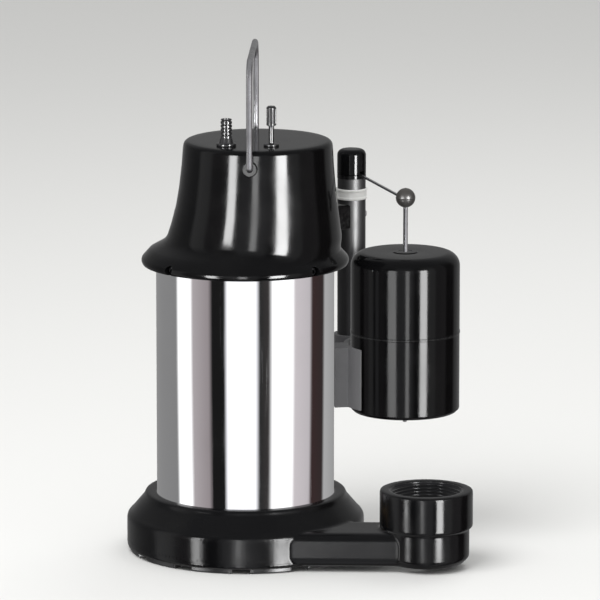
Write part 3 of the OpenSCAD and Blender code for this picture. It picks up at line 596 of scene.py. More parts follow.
def satin_plastic(name, colour, roughness=0.38, grain=900, depth=0.02, specular=0.3):
    """Moulded plastic with a fine spark-eroded texture and paler rubbed edges."""
    f = Finish(name, colour, roughness, specular=specular)
    fine = f.noise(grain, 4, roughness=0.7)
    patches = f.noise(45, 4)
    paler = tuple(min(1.0, c * 1.35 + 0.01) for c in colour)
    darker = tuple(c * 0.7 for c in colour)
    f.tint(f.spread(patches, 0.5, 0.8, 0, 0.6), darker)
    f.roughen(f.spread(patches, 0.4, 0.7), 0.1)
    f.edges(paler, 0.7)
    f.bump(fine, depth, 0.6)
    return f.done()


def bright_metal(name, colour, roughness, along=(1, 1, 1), grain=500, dull=None):
    """Machined or drawn metal, with grain along one axis and dull tarnish in patches."""
    f = Finish(name, colour, roughness, metallic=1.0)
    lines = f.noise(grain, 3, f.stretched(along))
    patches = f.noise(60, 5)
    f.tint(f.spread(patches, 0.5, 0.75, 0, 0.7), dull or tuple(c * 0.6 for c in colour))
    f.roughen(f.spread(patches, 0.4, 0.75), 0.16)
    f.roughen(f.spread(lines, 0.4, 0.7), 0.08)
    f.edges(tuple(min(1, c * 1.25) for c in colour), 0.6)
    f.bump(lines, 0.012, 0.5)
    return f.done()


def cast_iron():
    """Bare sand-cast iron with oil-dark pores."""
    f = Finish("cast_iron", (0.13, 0.13, 0.135), 0.52, metallic=0.75)
    sand = f.noise(700, 6, roughness=0.7)
    pores = f.noise(230, 4)
    f.tint(f.spread(pores, 0.55, 0.72, 0, 0.9), (0.045, 0.043, 0.042))
    f.tint(f.spread(f.noise(35, 5), 0.58, 0.75, 0, 0.5), (0.17, 0.10, 0.06))
    f.roughen(pores, 0.2)
    f.edges((0.36, 0.36, 0.37), 0.8, -0.15)
    f.bump(sand, 0.09, 0.7)
    return f.done()


def rubber(name="nitrile_rubber"):
    """Matt black rubber with a bloom of dust and a fine pebble."""
    f = Finish(name, (0.022, 0.022, 0.022), 0.62, specular=0.35)
    f.tint(f.spread(f.noise(80, 5), 0.5, 0.75, 0, 0.5), (0.06, 0.058, 0.055))
    f.roughen(f.noise(300, 3), 0.12)
    f.bump(f.noise(1600, 4), 0.02, 0.6)
    return f.done()


def laminations():
    """Stacked electrical steel: thin sheets seen edge-on, with varnish in the joints."""
    f = Finish("laminations", (0.30, 0.30, 0.31), 0.38, metallic=1.0)
    sheets = f.waves({"Scale": 320, "Distortion": 0.4})
    f.tint(f.spread(sheets, 0.0, 0.35, 0.7, 0.0), (0.05, 0.035, 0.03))
    f.tint(f.spread(f.noise(40, 5), 0.55, 0.75, 0, 0.6), (0.16, 0.11, 0.07))
    f.roughen(f.noise(200, 3), 0.15)
    f.bump(sheets, 0.06, 0.6)
    return f.done()


def wound_copper():
    """Varnished magnet wire: fine turns side by side under an amber coat."""
    f = Finish("wound_copper", (0.50, 0.17, 0.06), 0.24, metallic=0.85, coat=0.5, coat_roughness=0.12)
    turns = f.waves({"Scale": 210, "Distortion": 3.0, "Detail": 2, "Detail Scale": 30})
    f.tint(f.spread(turns, 0.0, 0.4, 0.85, 0.0), (0.09, 0.02, 0.01))
    f.roughen(f.noise(120, 4), 0.18)
    f.bump(turns, 0.35, 0.8)
    return f.done()


def cast_bronze():
    """Tumbled bronze casting with darker hollows."""
    f = Finish("cast_bronze", (0.56, 0.38, 0.17), 0.32, metallic=1.0)
    skin = f.noise(420, 5)
    f.tint(f.spread(f.noise(60, 5), 0.48, 0.72, 0, 0.8), (0.24, 0.14, 0.06))
    f.roughen(skin, 0.22)
    f.edges((0.80, 0.60, 0.32), 0.8, -0.1)
    f.bump(skin, 0.06, 0.6)
    return f.done()


def lapped_ceramic():
    f = Finish("lapped_ceramic", (0.80, 0.77, 0.70), 0.22, specular=0.6)
    f.tint(f.spread(f.noise(300, 5), 0.5, 0.75, 0, 0.4), (0.62, 0.58, 0.50))
    f.roughen(f.noise(90, 4), 0.15)
    f.bump(f.noise(1500, 3), 0.01, 0.5)
    return f.done()


def white_nylon():
    f = Finish("white_nylon", (0.86, 0.86, 0.84), 0.34)
    f.shader["Subsurface Weight"].default_value = 0.15
    f.shader["Subsurface Radius"].default_value = (0.002, 0.002, 0.0018)
    f.tint(f.spread(f.noise(90, 5), 0.55, 0.8, 0, 0.5), (0.70, 0.69, 0.65))
    f.roughen(f.noise(300, 3), 0.1)
    f.bump(f.noise(900, 3), 0.012, 0.5)
    return f.done()


# ---- the pump's body

def prism(bm, outline, start, end, axis="x"):
    """A closed outline pushed along an axis. Outline points are (y, z) for x, and (x, y) for z."""
    def put(p, at):
        return (at, p[0], p[1]) if axis == "x" else (p[0], p[1], at)
    a = [bm.verts.new(put(p, start)) for p in outline]
    b = [bm.verts.new(put(p, end)) for p in outline]
    count = len(outline)
    for k in range(count):
        j = (k + 1) % count
        bm.faces.new((a[k], a[j], b[j], b[k]))
    bm.faces.new(list(reversed(a)))
    bm.faces.new(b)


def cylinder(bm, at, r, z0, z1, segments=96):
    lathe(bm, [(0, z0), (r, z0), (r, z1), (0, z1)], at, segments, closed=False)


def remesh(thing, voxel, smoothing):
    """Melts a joined shape into one skin with cast corners."""
    step = thing.modifiers.new("skin", "REMESH")
    step.mode = "VOXEL"
    step.voxel_size = voxel * MM
    step.use_smooth_shade = True
    soft = thing.modifiers.new("soft", "SMOOTH")
    soft.factor = 0.5
    soft.iterations = smoothing
    apply_modifiers(thing)
    thing.data.polygons.foreach_set("use_smooth", [True] * len(thing.data.polygons))


def motor_shell():
    """A thin drawn tube, with its weld as a slim upright bead at the back."""
    wall, inset = 1.2, 1
    outline = fillet(band(shell_r - wall, shell_r, shell_low, shell_high), 0.4)
    place(turned("motor_shell_skin", outline, segments=256), "motor_shell")
    heights = (shell_low + inset, (shell_low + shell_high) / 2, shell_high - inset)
    bead = shape(tube, [(0, shell_r - 0.35, z) for z in heights], 0.6, 12, name="shell_weld_seam")
    place(bead, material=bright_metal("weld_seam", (0.58, 0.57, 0.56), 0.30, (1, 1, 0.3), 900, (0.40, 0.36, 0.33)))


def base_skin():
    """Outline of the casting's outside, from the neck's underside up to the shell's seat."""
    top, shoulder, lip = 38.8, 5, 3
    return (
        [(0, base_low), (base_r - 0.8, base_low), (base_r, base_low + 0.8)]
        + arc(base_r - shoulder, 21, shoulder, range(0, 61, 15))
        + [(66.5, top - 3.2)]
        + arc(64, top - lip, lip, range(60, 91, 10))
        + [(0, top)]
    )


def volute_casing():
    """The casting: disc, neck and hub in one skin, hollowed by the spiral chamber, the duct and the bores."""
    neck_low, neck_top, neck_w = 3.0, 25.0, 44.0
    collar_z, elbow_r, bore_r, elbow_in = 26.0, 28.0, 22.0, 19.0
    chamber_top, duct_top, duct_front, duct_w = 26.0, 22.0, 63.0, 28.0
    thread_low, bracket_seat, above = 27.0, 33, 60
    casing = turned("volute_casing_skin", base_skin(), closed=False)
    neck_outline = fillet(band(hub_y - neck_w / 2, hub_y + neck_w / 2, neck_low, neck_top), 7, steps=8)
    neck = shape(prism, neck_outline, 24, hub_x)
    cut(neck, shape(cylinder, (0, 0), base_r + 0.3, -5, base_low))
    hub_outline = [(0, neck_low)] + fillet([
        (elbow_r - 4, neck_low), (elbow_r, neck_low + 4), (elbow_r, collar_z), (hub_r, collar_z + 0.6),
        (hub_r, hub_top), (elbow_in, hub_top),
    ], [1, 3, 0.5, 1, 1.2, 0], closed=False) + [(0, hub_top)]
    fuse(casing, neck, shape(lathe, hub_outline, (hub_x, hub_y), 128, closed=False))
    spiral = []
    for t in (k / 60 for k in range(61)):
        r, a = 48 + 15 * t, math.radians(-30 + 300 * t)
        spiral.append((r * math.cos(a), r * math.sin(a)))
    cut(
        casing,
        shape(prism, spiral, base_low - 1, chamber_top, axis="z"),
        shape(block, (10, -duct_front, base_low), (hub_x, -duct_front + duct_w, duct_top)),
        shape(cylinder, (hub_x, hub_y), elbow_in, neck_low + 4, hub_top + 5),
        shape(cylinder, (hub_x, hub_y), bore_r + 1.3, thread_low, hub_top + 5),
        shape(cylinder, (0, 0), elbow_in, 0, above),
        shape(cylinder, (0, 0), shell_r - 1.3, bracket_seat, above),
        shape(cylinder, (0, 0), shell_r + 0.2, shell_low, above, 256),
    )
    remesh(casing, 0.8, 6)
    place(casing, "volute_casing")
    # Pipe thread as a sleeve of fine ridges, flush inside the hub
    pitch, crest = 2.2, bore_r + 0.05
    outline = [(bore_r + 1.5, hub_top - 0.6), (bore_r + 1.1, hub_top - 0.6)]
    for k in range(10):
        z = hub_top - 1.2 - k * pitch
        outline += [(bore_r + 1.0, z), (crest, z - pitch * 0.4), (crest, z - pitch * 0.6)]
    outline += [(crest, thread_low + 0.3), (bore_r + 1.5, thread_low + 0.3)]
    thread = turned("hub_thread", outline, (hub_x, hub_y), sharp=math.radians(20))
    place(thread, material=black_moulding("hub_thread", 0.012, 0.22, 0.02, 0.5))


def suction_cover():
    """The plate under the impeller, with holes for its own screws and sockets for the strainer's."""
    eye_r, hole_r = 19.0, 2.1
    outline = fillet(band(eye_r, base_r, cover_low, cover_high), [1.5, 0.8, 0.4, 0.4])
    cover = turned("suction_cover_plate", outline)
    holes = [(at, hole_r, cover_low - 2, cover_high + 2, 32) for at in around(6, 71.5, 40)]
    holes += [(at, hole_r, cover_low - 2, cover_high - 0.4, 32) for at in around(4, 58, 15)]
    cut(cover, shapes(cylinder, holes))
    place(cover, "suction_cover")


def cover_gasket():
    outline = fillet(band(65.4, base_r - 0.4, cover_high, base_low), 0.2, steps=2)
    place(turned("cover_gasket_ring", outline), "cover_gasket")


def strainer_base():
    """A ribbed plate on a slotted ring: water enters between the ring's feet and through the plate."""
    ring_in, plate_low, plate_high, pad_r = strainer_r - 12, 1.6, 3.4, 9.0
    outline = (
        [(0, 0), (pad_r - 0.4, 0), (pad_r, 0.4), (pad_r, plate_low)]
        + [(ring_in - 1, plate_low), (ring_in, 0.3), (ring_in + 0.4, 0)]
        + fillet([(strainer_r - 0.6, 0), (strainer_r, 0.6), (strainer_r, strainer_high), (ring_in, strainer_high)],
                 0.4, closed=False)
        + [(ring_in, plate_high), (0, plate_high)]
    )
    plate = turned("strainer_plate", outline, closed=False)
    slots = [((strainer_r - 13.5, -6, -1), (strainer_r + 5, 6, plate_high), upright(30 * k)) for k in range(12)]
    for row in range(3):
        count, start = 12 + 6 * row, 17 + 14 * row
        for k in range(count):
            slots.append(((start, -1.6, 0.5), (start + 10, 1.6, 6), upright(row * 7 + 360 * k / count)))
    cut(plate, shapes(block, slots))
    round_edges(plate, 0.25, 2)
    shade(plate)
    place(plate, "strainer_base")


# The cap's housing leans: its axis moves right as it narrows. Height over its foot, axis shift and radius
HOUSING = ((0.2, 2.6, 59.6), (2.0, 4.3, 58.2), (4.0, 5.4, 57.3), (6.5, 6.2, 56.6), (14.5, 7.0, 54.9),
           (26.5, 7.8, 52.6), (39, 8.1, 50.8), (53, 8.3, 49.4), (64, 8.45, 48.7))


def screw_seats():
    """Where the cap's four screws sit: the point under each head, and the way out."""
    outs = [Vector((math.cos(a), math.sin(a), 0)) for a in (math.radians(45 + 90 * k) for k in range(4))]
    return [(out * 62 + Vector((0, 0, cap_screw_z)), out) for out in outs]


def top_cap():
    """The cap's one moulding: rolled flange, leaning housing and domed edge, hollow inside."""
    roll, wall, roof, edge = 3.5, 3.2, 6.0, 3.5
    top_x, top_r, seat_r = 8.5, 48.5, shell_r + 0.15
    flange = [(seat_r, cap_low), (61.6, cap_low), (62.6, cap_low + 0.4)]
    flange += arc(flange_r - roll, cap_low + 3.3, roll, range(-40, 41, 10))
    flange += [(64.4, foot_z - 5.0), (62.4, foot_z - 2.8), (60.9, foot_z - 1.2, 1.4)]
    housing = [(r, foot_z + up, shift) for up, shift, r in HOUSING]
    crown = arc(top_r - edge, cap_high - edge, edge, range(0, 91, 15))
    crown += [(r, cap_high) for r in range(40, -1, -10)] + [(r, cap_high - roof) for r in (0, top_r - wall - 3)]
    inside = [(r - wall, z, shift) for r, z, shift in reversed(housing) if z < cap_high - roof - 1]
    inside += [(55, foot_z - 1), (55, gasket_top), (seat_r, gasket_top)]
    outline = flange + housing + [(r, z, top_x) for r, z in crown] + inside
    cap = turned("top_cap_skin", outline, segments=192)
    # Arm that holds the mast, and bosses for the bail's pivots
    arm_turn = Matrix.Rotation(arm_angle, 4, "Z")
    arm = shape(block, (52, -7, arm_low), (math.hypot(mast_x, mast_y), 7, arm_high), arm_turn)
    round_edges(arm, 1.5, 4)
    cut(arm, shape(cylinder, MAST_AT, mast_r + 0.05, arm_low - 5, arm_high + 5))
    fuse(cap, arm)
    for side in (-1, 1):
        fuse(cap, shape(pin, (bail_x, side * 47.2, pivot_z), (0, side, 0), 5, 4, 64, 0.6))
    bm = bmesh.new()
    pin(bm, (bail_x, -62, pivot_z), (0, 1, 0), bail_r + 0.06, 124, 32)
    for node, hole in (("cord_gland", 5.25), ("fill_plug", 3.55)):
        cylinder(bm, middle(node)[:2], hole, cap_high - 10, cap_high + 3, 48)
    for seat, out in screw_seats():
        pin(bm, seat, out, 3.3, 20, 48)
    cut(cap, make("tool", bm))
    place(cap, "top_cap", "cap_flange", "cap_roof", "mast_arm")


def socket_screws(name, seats, shank_r, shank, head_r, head_h, key_r):
    """Round-headed screws with hexagon sockets. Each seat is the point under the head and the way out."""
    screws = bmesh.new()
    keys = bmesh.new()
    for at, out in seats:
        at, out = Vector(at), Vector(out).normalized()
        stations = [
            (-shank, shank_r - 0.4), (0.4 - shank, shank_r), (0, shank_r), (0, head_r - 0.15), (0.15, head_r),
            (head_h * 0.55, head_r), (head_h * 0.82, head_r * 0.93), (head_h, head_r * 0.74),
        ]
        tube(screws, [at + out * along for along, _ in stations], [r for _, r in stations], 48)
        tube(keys, [at + out * head_h * 0.35, at + out * (head_h + 1)], key_r, 6)
    return cut(make(name, screws), make("tool", keys))


def gland():
    """The power lead's gland: a threaded foot, a hexagon's flange and a ribbed nozzle with an open bore."""
    x, y = middle("cord_gland")[:2]
    z, top, bore, nozzle = cap_high, high("cord_gland")[2], 2.6, 3.7
    outer = [(5.2, z - 12), (5.2, z), (6.4, z), (6.4, z + 1.6), (4.8, z + 1.8), (4.1, z + 5)]
    ribs, groove = 5, nozzle - 0.7
    step = (top - z - 6) / ribs
    for k in range(ribs):
        base = z + 5.2 + k * step
        outer += [(nozzle, base), (nozzle, base + step * 0.62)]
        outer += [(groove, base + step * 0.72), (groove, base + step * 0.92)]
    outer += [(nozzle, top - 0.6), (nozzle - 0.4, top), (bore, top), (bore, z - 12)]
    place(turned("cord_gland_boot", fillet(outer, 0.18, steps=2), (x, y), 64), "cord_gland")


def fill_plug():
    """An oil filler's plug: a thin stem with a fluted grip."""
    at = middle("fill_plug")[:2]
    z, top, stem, grip = cap_high, high("fill_plug")[2], 1.7, 3.2
    outline = [(0, z - 8)] + fillet([
        (3.5, z - 8), (3.5, z), (5, z), (5, z + 1.4), (stem, z + 1.8), (stem, top - 13), (grip, top - 12.4),
        (grip, top - 1), (2.2, top),
    ], 0.35, closed=False, steps=3) + [(0, top)]
    plug = turned("fill_plug_stem", outline, at, 64, closed=False)
    flutes = around(10, grip + 0.4, at=at)
    cut(plug, shapes(cylinder, [(flute, 0.65, top - 11.4, top - 1.6, 12) for flute in flutes]))
    place(plug, "fill_plug")


def cap_screws():
    place(socket_screws("cap_screw_set", screw_seats(), 2.0, 14.0, 2.95, 2.35, 1.45), "cap_screws")


def bail_handle():
    """A wire bail: two pivot ends turned inwards, upright legs and a round-cornered grip."""
    leg, toe, bend, tip = 54.0, 4, 14.0, 46.0
    top = bail_high - bail_r
    half = [(tip, pivot_z), (leg - toe, pivot_z)] + arc(leg - toe, pivot_z + toe, toe, range(-75, 1, 15))
    half += [(leg, pivot_z + 12 * k) for k in (1, 2, 3)]
    half += arc(leg - bend, top - bend, bend, [7.5 * k for k in range(13)])
    half += [(leg - bend - 10 * k, top) for k in (1, 2, 3)]
    path = [(bail_x, y, z) for y, z in half] + [(bail_x, -y, z) for y, z in reversed(half)]
    place(shape(tube, path, bail_r, 24, name="bail_wire"), "bail_handle", body="bail")


# ---- the float switch

mast_wall = 1.5
mast_reach = math.hypot(float_x - mast_x, float_y - mast_y)
mast_turn = Matrix.Rotation(math.atan2(float_y - mast_y, float_x - mast_x), 4, "Z")
MAST_FRAME = Matrix.Translation((*MAST_AT, 0)) @ mast_turn
ARM_OUT = Vector((math.cos(arm_angle), math.sin(arm_angle), 0))
LEVER_U = 2.0


def at_mast(point):
    """A point in the mast's own frame, where +X faces the float's rod."""
    return MAST_FRAME @ Vector(point)


ACROSS = at_mast((0, 1, 0)) - at_mast((0, 0, 0))


def float_shells():
    """Two blow-moulded halves with a slim weld bead between them."""
    r, wall, edge, seat, bead, gap = float_r, 2.0, 9.0, 4.6, 0.25, 0.05
    skin, inner, neck = r - bead, r - wall, seat + 1.6
    top, bottom, split = float_high, float_low, float_split
    quarter = range(0, 91, 9)
    upper = (
        [(skin, split + 0.9), (r, split + 0.6), (r, split + gap), (inner, split + gap)]
        + arc(r - edge, top - edge, edge - wall, quarter)
        + [(seat + 4, top - wall - 0.6), (neck, top - wall - 1.5), (neck, top - 8), (seat, top - 8)]
        + [(seat, top - 0.3), (seat + 0.3, top), (seat + 3.0, top), (seat + 3.8, top - 0.7)]
        + arc(r - edge, top - edge, edge - bead, quarter)[::-1]
    )
    place(turned("float_upper_skin", upper, FLOAT_AT, 192), "float_upper_shell", body="float")
    outside = [(skin, split - 2), (skin, bottom + 2), (skin - 2, bottom), (seat + 4, bottom)]
    inside = [(seat + 6, bottom + wall), (inner - 2, bottom + wall)]
    inside += [(inner, bottom + wall + 2), (inner, split - 4)]
    lower = (
        [(r, split - gap), (r, split - 0.6), (skin, split - 0.9)]
        + fillet(outside, [0, 1.2, 1.2, 0], closed=False)
        + [(seat + 3.2, bottom + 0.6), (seat + 0.3, bottom + 0.6), (seat, bottom + 0.9), (seat, bottom + 8)]
        + [(neck, bottom + 8), (neck, bottom + wall + 1), (seat + 4, bottom + wall)]
        + fillet(inside, [0, 1, 1, 0], closed=False)
        + [(inner, split - gap)]
    )
    place(turned("float_lower_skin", lower, FLOAT_AT, 192), "float_lower_shell", body="float")


def thread_turns(start, end, pitch):
    """The heights of a thread's turns."""
    heights = []
    while start < end:
        heights.append(start)
        start += pitch
    return heights


def float_sleeve():
    outline = fillet(band(1.6, 4.5, float_low + 0.1, float_high - 0.1), 0.3)
    sleeve = turned("float_sleeve_tube", outline, FLOAT_AT, 64)
    place(sleeve, "float_sleeve", body="float")


def float_rod():
    """The rod, with a few turns of thread for the stop and the ball."""
    bottom, top, r, pitch = low("float_rod")[2], high("float_rod")[2], 1.5, 0.5
    root = r - 0.22
    outline = [(0, bottom), (r - 0.5, bottom)]
    for z in thread_turns(bottom + 0.4, bottom + 9, pitch):
        outline += [(r, z), (root, z + pitch / 2)]
    outline += [(r, z + pitch), (r, top - 5)]
    for z in thread_turns(top - 4.8, top - 0.6, pitch):
        outline += [(root, z), (r, z + pitch / 2)]
    outline += [(r - 0.4, top), (0, top)]
    rod = turned("float_rod_bar", outline, FLOAT_AT, 48, closed=False, sharp=math.radians(60))
    place(rod, "float_rod", body="rod")


def float_stop():
    """A knurled ring under the float."""
    bottom, top, bore = low("float_stop")[2], high("float_stop")[2], 1.56
    r = (high("float_stop")[0] - low("float_stop")[0]) / 2
    stop = turned("float_stop_ring", fillet(band(bore, r, bottom, top), [0.2, 0.8, 0.5, 0.2]), FLOAT_AT, 96)
    flutes = around(16, r + 0.4, at=FLOAT_AT)
    cut(stop, shapes(cylinder, [(flute, 0.8, bottom + 1, top - 1, 16) for flute in flutes]))
    place(stop, "float_stop", body="rod")


def rod_ball():
    """The ball on top of the rod, slotted for the lever, with a moulding line round its middle."""
    steps, line = 48, 0.12
    at, outline = FLOAT_AT, []
    for k in range(1, steps):
        t = -math.pi / 2 + math.pi * k / steps
        r = ball_r if k == steps // 2 else ball_r - line
        up = ball_r if k in (1, steps - 1) else r
        outline.append((r * math.cos(t), ball_z + up * math.sin(t)))
    outline = [(0, ball_z - ball_r)] + outline + [(0, ball_z + ball_r)]
    ball = turned("rod_ball_skin", outline, at, 96, closed=False)
    slot = shape(block, (mast_reach - 9, -1.4, ball_z - 2.6), (mast_reach - 1.8, 1.4, ball_z + 2.6), MAST_FRAME)
    cut(ball, shape(cylinder, at, 1.55, ball_z - 10, ball_z + 4.05, 32), slot)
    round_edges(ball, 0.25, 2)
    shade(ball)
    place(ball, "rod_ball", body="rod")


def mast():
    """The switch's tube, and the plug that closes its foot."""
    inner = mast_r - mast_wall
    outline = fillet(band(inner, mast_r, mast_low, mast_high), 0.3)
    place(turned("mast_tube", outline, MAST_AT, 96), "switch_mast")
    bottom, top = low("mast_foot")[2], high("mast_foot")[2]
    outline = [(0, bottom)] + fillet([
        (mast_r - 2, bottom), (mast_r, bottom + 3), (inner - 0.05, bottom + 3), (inner - 0.05, top),
    ], [0.6, 0.4, 0, 0], closed=False) + [(0, top)]
    place(turned("mast_foot_plug", outline, MAST_AT, 96, closed=False), "mast_foot")


def switch_head():
    """A domed head with a parting line, hollow inside and slotted for the lever."""
    r, dome, inner, inner_top = mast_r + 0.2, 4.0, mast_r - mast_wall, head_high - 2.5
    outline = [(inner, mast_high), (r, mast_high), (r, mast_high + 2.2), (r - 0.3, mast_high + 2.5)]
    outline += [(r, mast_high + 2.8)] + arc(r - dome, head_high - dome, dome, range(0, 91, 9)) + [(0, head_high)]
    bm = bmesh.new()
    lathe(bm, outline, MAST_AT, 96, closed=False)
    lathe(bm, [(0, inner_top), (inner, inner_top), (inner, mast_high)], MAST_AT, 96, closed=False)
    head = make("switch_head_shell", bm)
    bm = bmesh.new()
    block(bm, (2, -2.2, mast_high - 1), (14, 2.2, mast_high + 5), MAST_FRAME)
    pin(bm, at_mast((LEVER_U, -8.8, lever_z)), ACROSS, 1.05, 17.6, 24)
    cut(head, make("tool", bm))
    place(head, "switch_head")


def mast_collar():
    """A white clamp band with raised rims, and its clasp at the back."""
    inner, bottom, top, rim = mast_r + 0.05, collar_low, collar_high, 1.4
    outer = (high("mast_collar")[0] - low("mast_collar")[0]) / 2
    waist = outer - 0.35
    outline = fillet([
        (inner, bottom), (outer, bottom), (outer, bottom + rim), (waist, bottom + rim + 0.3),
        (waist, top - 1.7), (outer, top - rim), (outer, top), (inner, top),
    ], [0.1, 0.35, 0.2, 0.2, 0.2, 0.2, 0.35, 0.1])
    collar = turned("mast_collar_band", outline, MAST_AT, 128)
    back = Matrix.Translation((*MAST_AT, 0)) @ upright(135)
    clasp = shape(block, (outer - 1, -2.6, bottom + 0.6), (outer + 2.4, 2.6, top - 0.6), back)
    round_edges(clasp, 0.5, 3)
    fuse(collar, clasp)
    place(collar, "mast_collar")


def mast_screws():
    arm_at = Vector((*MAST_AT, (arm_low + arm_high) / 2)) + ARM_OUT * (mast_r + 0.05)
    guide_at = Vector((*MAST_AT, (guide_low + guide_high) / 2)) + ARM_OUT * (mast_r + 3.05)
    seats = [(arm_at, ARM_OUT), (guide_at, ARM_OUT)]
    place(socket_screws("mast_screw_set", seats, 1.5, 28, 2.8, 1.6, 1.25), "mast_screws")


def float_guide():
    """The bracket that holds the mast's foot and keeps the float off the shell."""
    inner, wall, web_w, inset = float_r + 1.5, 3.0, 18.0, 9
    web_angle = math.atan2(float_y, float_x)
    web_end = math.hypot(float_x, float_y) - inner
    web_turn = Matrix.Rotation(web_angle, 4, "Z")
    web_out = Vector((math.cos(web_angle), math.sin(web_angle), 0))
    rises = [Vector((0, 0, z)) for z in (guide_low + inset, guide_high - inset)]
    below, above = guide_low - 1, guide_high + 1
    guide = shape(lathe, band(inner, inner + wall, guide_low, guide_high), FLOAT_AT, 256)
    keep = shape(block, (float_x - 60, float_y - 35, below), (float_x - 28, float_y + 27, above))
    combine(guide, [keep], "INTERSECT")
    fuse(
        guide,
        shape(block, (shell_r - 1, -web_w / 2, guide_low), (web_end - 0.5, web_w / 2, guide_high), web_turn),
        shape(cylinder, MAST_AT, mast_r + wall, guide_low, guide_high, 128),
    )
    tools = bmesh.new()
    for rise in rises:
        pin(tools, web_out * (shell_r - 2) + rise, web_out, 2.1, 30, 32)
        pin(tools, web_out * (web_end - 4) + rise, web_out, 4.5, 20, 48)
    pin(tools, Vector((*MAST_AT, (guide_low + guide_high) / 2)) - ARM_OUT * 20, ARM_OUT, 1.6, 40, 24)
    cut(
        guide,
        shape(cylinder, (0, 0), shell_r + 0.25, below, above, 256),
        shape(cylinder, FLOAT_AT, inner, below, above, 256),
        shape(cylinder, MAST_AT, mast_r + 0.15, below, above, 128),
        make("tool", tools),
    )
    remesh(guide, 0.45, 3)
    guide.name = "float_guide_skin"
    place(guide, "float_guide")
    studs, nuts = bmesh.new(), bmesh.new()
    for rise in rises:
        pin(studs, web_out * (shell_r + 0.05) + rise, web_out, 2.0, web_end - shell_r - 0.9, 32)
        at = web_out * (web_end - 3.95) + rise
        tube(nuts, [at, at + web_out * 2.5, at + web_out * 2.9], [4.2, 4.2, 3.7], 6)
        pin(nuts, at + web_out * 2.0, web_out, 3.5, 0.98, 32, 0.1)
    place(make("guide_stud_pair", studs), "guide_studs")
    place(make("guide_nut_pair", nuts), "guide_nuts")


def switch_lever():
    """The thin lever: a wire through a hub that turns on the pin, reaching into the ball's slot."""
    tip_u = mast_reach - 3.8
    slope = math.atan2(lever_z - ball_z, tip_u - LEVER_U)
    along = at_mast((math.cos(slope), 0, -math.sin(slope))) - at_mast((0, 0, 0))
    pivot = at_mast((LEVER_U, 0, lever_z))
    length = math.hypot(tip_u - LEVER_U, lever_z - ball_z)
    stations = [(-7.2, 0.45), (-6.9, 0.8), (-6.4, 0.9), (length - 0.8, 0.9), (length - 0.3, 0.8), (length, 0.45)]
    path, radii = [pivot + along * d for d, _ in stations], [r for _, r in stations]
    lever = shape(tube, path, radii, 24, name="switch_lever_wire")
    fuse(lever, shape(pin, pivot - ACROSS * 2, ACROSS, 2.2, 4, 48, 0.3))
    cut(lever, shape(pin, pivot - ACROSS * 3, ACROSS, 1.05, 6, 32, 0.01))
    place(lever, "switch_lever", body="lever")


def lever_pin():
    start = at_mast((LEVER_U, 0, lever_z)) - ACROSS * 8.6
    place(shape(pin, start, ACROSS, 1.0, 17.2, 32, 0.25, name="lever_pivot_pin"), "lever_pin")


def microswitch():
    """A moulded case with a lid seam, two rivets and a hole for its plunger, and the plunger itself."""
    z, case_h, plunger_u = switch_z, 6.6, -4.4
    case = shape(block, (-6.4, -3, z), (4.2, 3, z + case_h), MAST_FRAME, name="microswitch_case")
    round_edges(case, 0.3, 2)
    seams, holes = bmesh.new(), bmesh.new()
    block(seams, (-8, 0.9, z - 1), (6, 1.1, z + 0.2), MAST_FRAME)
    block(seams, (-8, 0.9, z + case_h - 0.2), (6, 1.1, z + 8), MAST_FRAME)
    for u in (-5, 2.8):
        pin(holes, at_mast((u, -4, z + 1.6)), ACROSS, 0.7, 1.4, 24, 0.01)
    pin(holes, at_mast((plunger_u, 0, z + 2)), (0, 0, 1), 0.96, 7, 32, 0.01)
    cut(case, make("seams", seams), make("holes", holes))
    place(case, "microswitch")
    start = at_mast((plunger_u, 0, z + 3.4))
    reach = high("switch_plunger")[2] - start.z
    path = [start + Vector((0, 0, up)) for up in (0, reach - 0.5, reach - 0.15, reach)]
    plunger = shape(tube, path, [0.9, 0.9, 0.7, 0.3], 24, name="switch_plunger_pin")
    place(plunger, "switch_plunger", body="plunger")


# ---- assembly

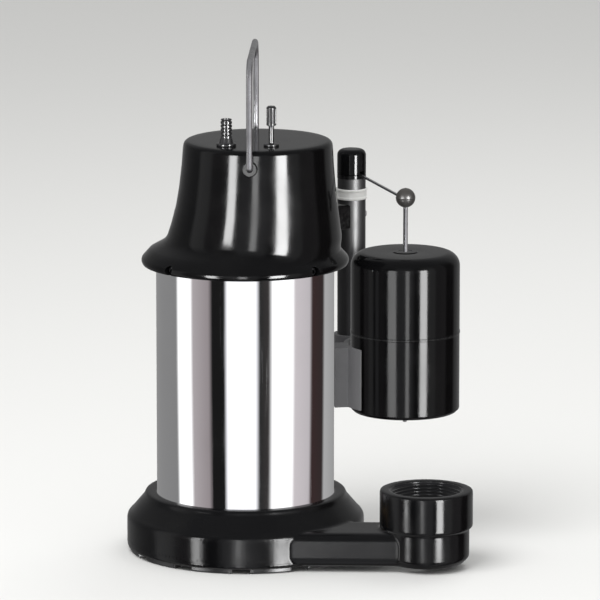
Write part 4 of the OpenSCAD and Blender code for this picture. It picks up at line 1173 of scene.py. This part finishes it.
def finishes():
    """One material for each of the record's slots."""
    made = {name: finish(name, *numbers) for finish, name, *numbers in (
        (satin_plastic, "black_plastic", (0.014, 0.014, 0.015), 0.26, 1100, 0.012),
        (bright_metal, "zinc_steel", (0.60, 0.60, 0.61), 0.26, (1, 1, 1), 700),
        (bright_metal, "dark_screw", (0.06, 0.06, 0.062), 0.30, (1, 1, 1), 700, (0.03, 0.028, 0.026)),
        (bright_metal, "spring_steel", (0.55, 0.55, 0.56), 0.22, (1, 1, 4), 600),
        (bright_metal, "ground_steel", (0.66, 0.67, 0.68), 0.14, (0.15, 0.15, 6), 500),
        (bright_metal, "cast_aluminium", (0.66, 0.67, 0.68), 0.36, (1, 1, 1), 300, (0.4, 0.4, 0.41)),
        (satin_plastic, "dark_bakelite", (0.040, 0.034, 0.031), 0.30, 700, 0.02),
        (bright_metal, "bearing_steel", (0.74, 0.75, 0.76), 0.10, (0.2, 0.2, 6), 600),
        (black_moulding, "capacitor_can", 0.022, 0.22, 0.03, 0.4),
        (black_moulding, "black_gloss", 0.0035, 0.10, 0.02, 0.25),
        (bright_metal, "stainless_wire", (0.36, 0.36, 0.37), 0.26, (1, 1, 0.12), 700),
        (satin_plastic, "grey_plastic", (0.165, 0.165, 0.17), 0.42, 900, 0.025),
        (satin_plastic, "mast_plastic", (0.020, 0.020, 0.021), 0.42, 1000, 0.018),
        (satin_plastic, "rod_ball", (0.045, 0.042, 0.039), 0.34, 900, 0.02),
        (black_moulding, "float_gloss", 0.0035, 0.11, 0.03, 0.2),
    )}
    return made | {
        "black_enamel": black_enamel(),
        "white_nylon": white_nylon(),
        "polished_steel": mirror_steel(),
        "nitrile": rubber(),
        "bronze": cast_bronze(),
        "ceramic": lapped_ceramic(),
        "grey_iron": cast_iron(),
        "lamination": laminations(),
        "copper": wound_copper(),
    }


def light_studio():
    """Narrow strips draw the upright highlights on the black parts, and a soft key grounds everything."""
    floats = ("float_upper_skin", "float_lower_skin")
    base = ("volute_casing_skin", "hub_thread", "suction_cover_plate", "strainer_plate")
    top = (
        "top_cap_skin", "switch_head_shell", "cord_gland_boot", "fill_plug_stem", "mast_tube", "mast_foot_plug",
        "rod_ball_skin",
    )
    # What each strip lights, its azimuth, its width in metres and its power
    for name, lit, azimuth, width, power in (
        ("strip_left_cap", top, -36, 0.34, 135),
        ("strip_middle_cap", top[:1], -2, 0.24, 26),
        ("strip_right_cap", top, 37, 0.46, 260),
        ("strip_left_float", floats, -25, 0.50, 42),
        ("strip_middle_float", floats, 8, 0.20, 15),
        ("strip_right_float", floats, 42, 0.42, 125),
        ("strip_left_base", base, -46, 0.24, 32),
        ("strip_middle_base", base, -6, 0.18, 11),
        ("strip_neck_base", base[:1], 0.45, 0.037, 0.9),
        ("strip_right_base", base, 36, 0.40, 112),
    ):
        strip_light(name, azimuth, -4, 1.6, width, 1.4, power, lit)
    # The shell mirrors the studio alone, so its upright bands run unbroken
    for name in base[:2] + floats + (
        "float_guide_skin", "mast_tube", "mast_foot_plug", "mast_screw_set", "float_sleeve_tube", "float_rod_bar",
        "float_stop_ring", "guide_stud_pair", "guide_nut_pair",
    ):
        bpy.data.objects[name].visible_glossy = False
    key = strip_light("key", -35, 55, 1.8, 1.2, 1.2, 26.0)
    key.visible_glossy = False
    rear = strip_light("rear", 150, 50, 1.8, 1.0, 1.0, 8.0)
    rear.visible_glossy = False


add_camera()
add_floor()
add_world()
materials = finishes()
for name, slot in SLOTS.items():
    node = frame["nodes"][name]
    node.data.materials.clear()
    node.data.materials.append(materials[slot])
for piece in (
    motor_shell, volute_casing, suction_cover, cover_gasket, strainer_base, top_cap, gland, fill_plug, cap_screws,
    bail_handle, float_shells, float_sleeve, float_rod, float_stop, rod_ball, mast, switch_head, mast_collar,
    mast_screws, float_guide, switch_lever, lever_pin, microswitch,
):
    piece()
light_studio()
bpy.context.scene.view_settings.view_transform = "Standard"

bpy.context.view_layer.update()
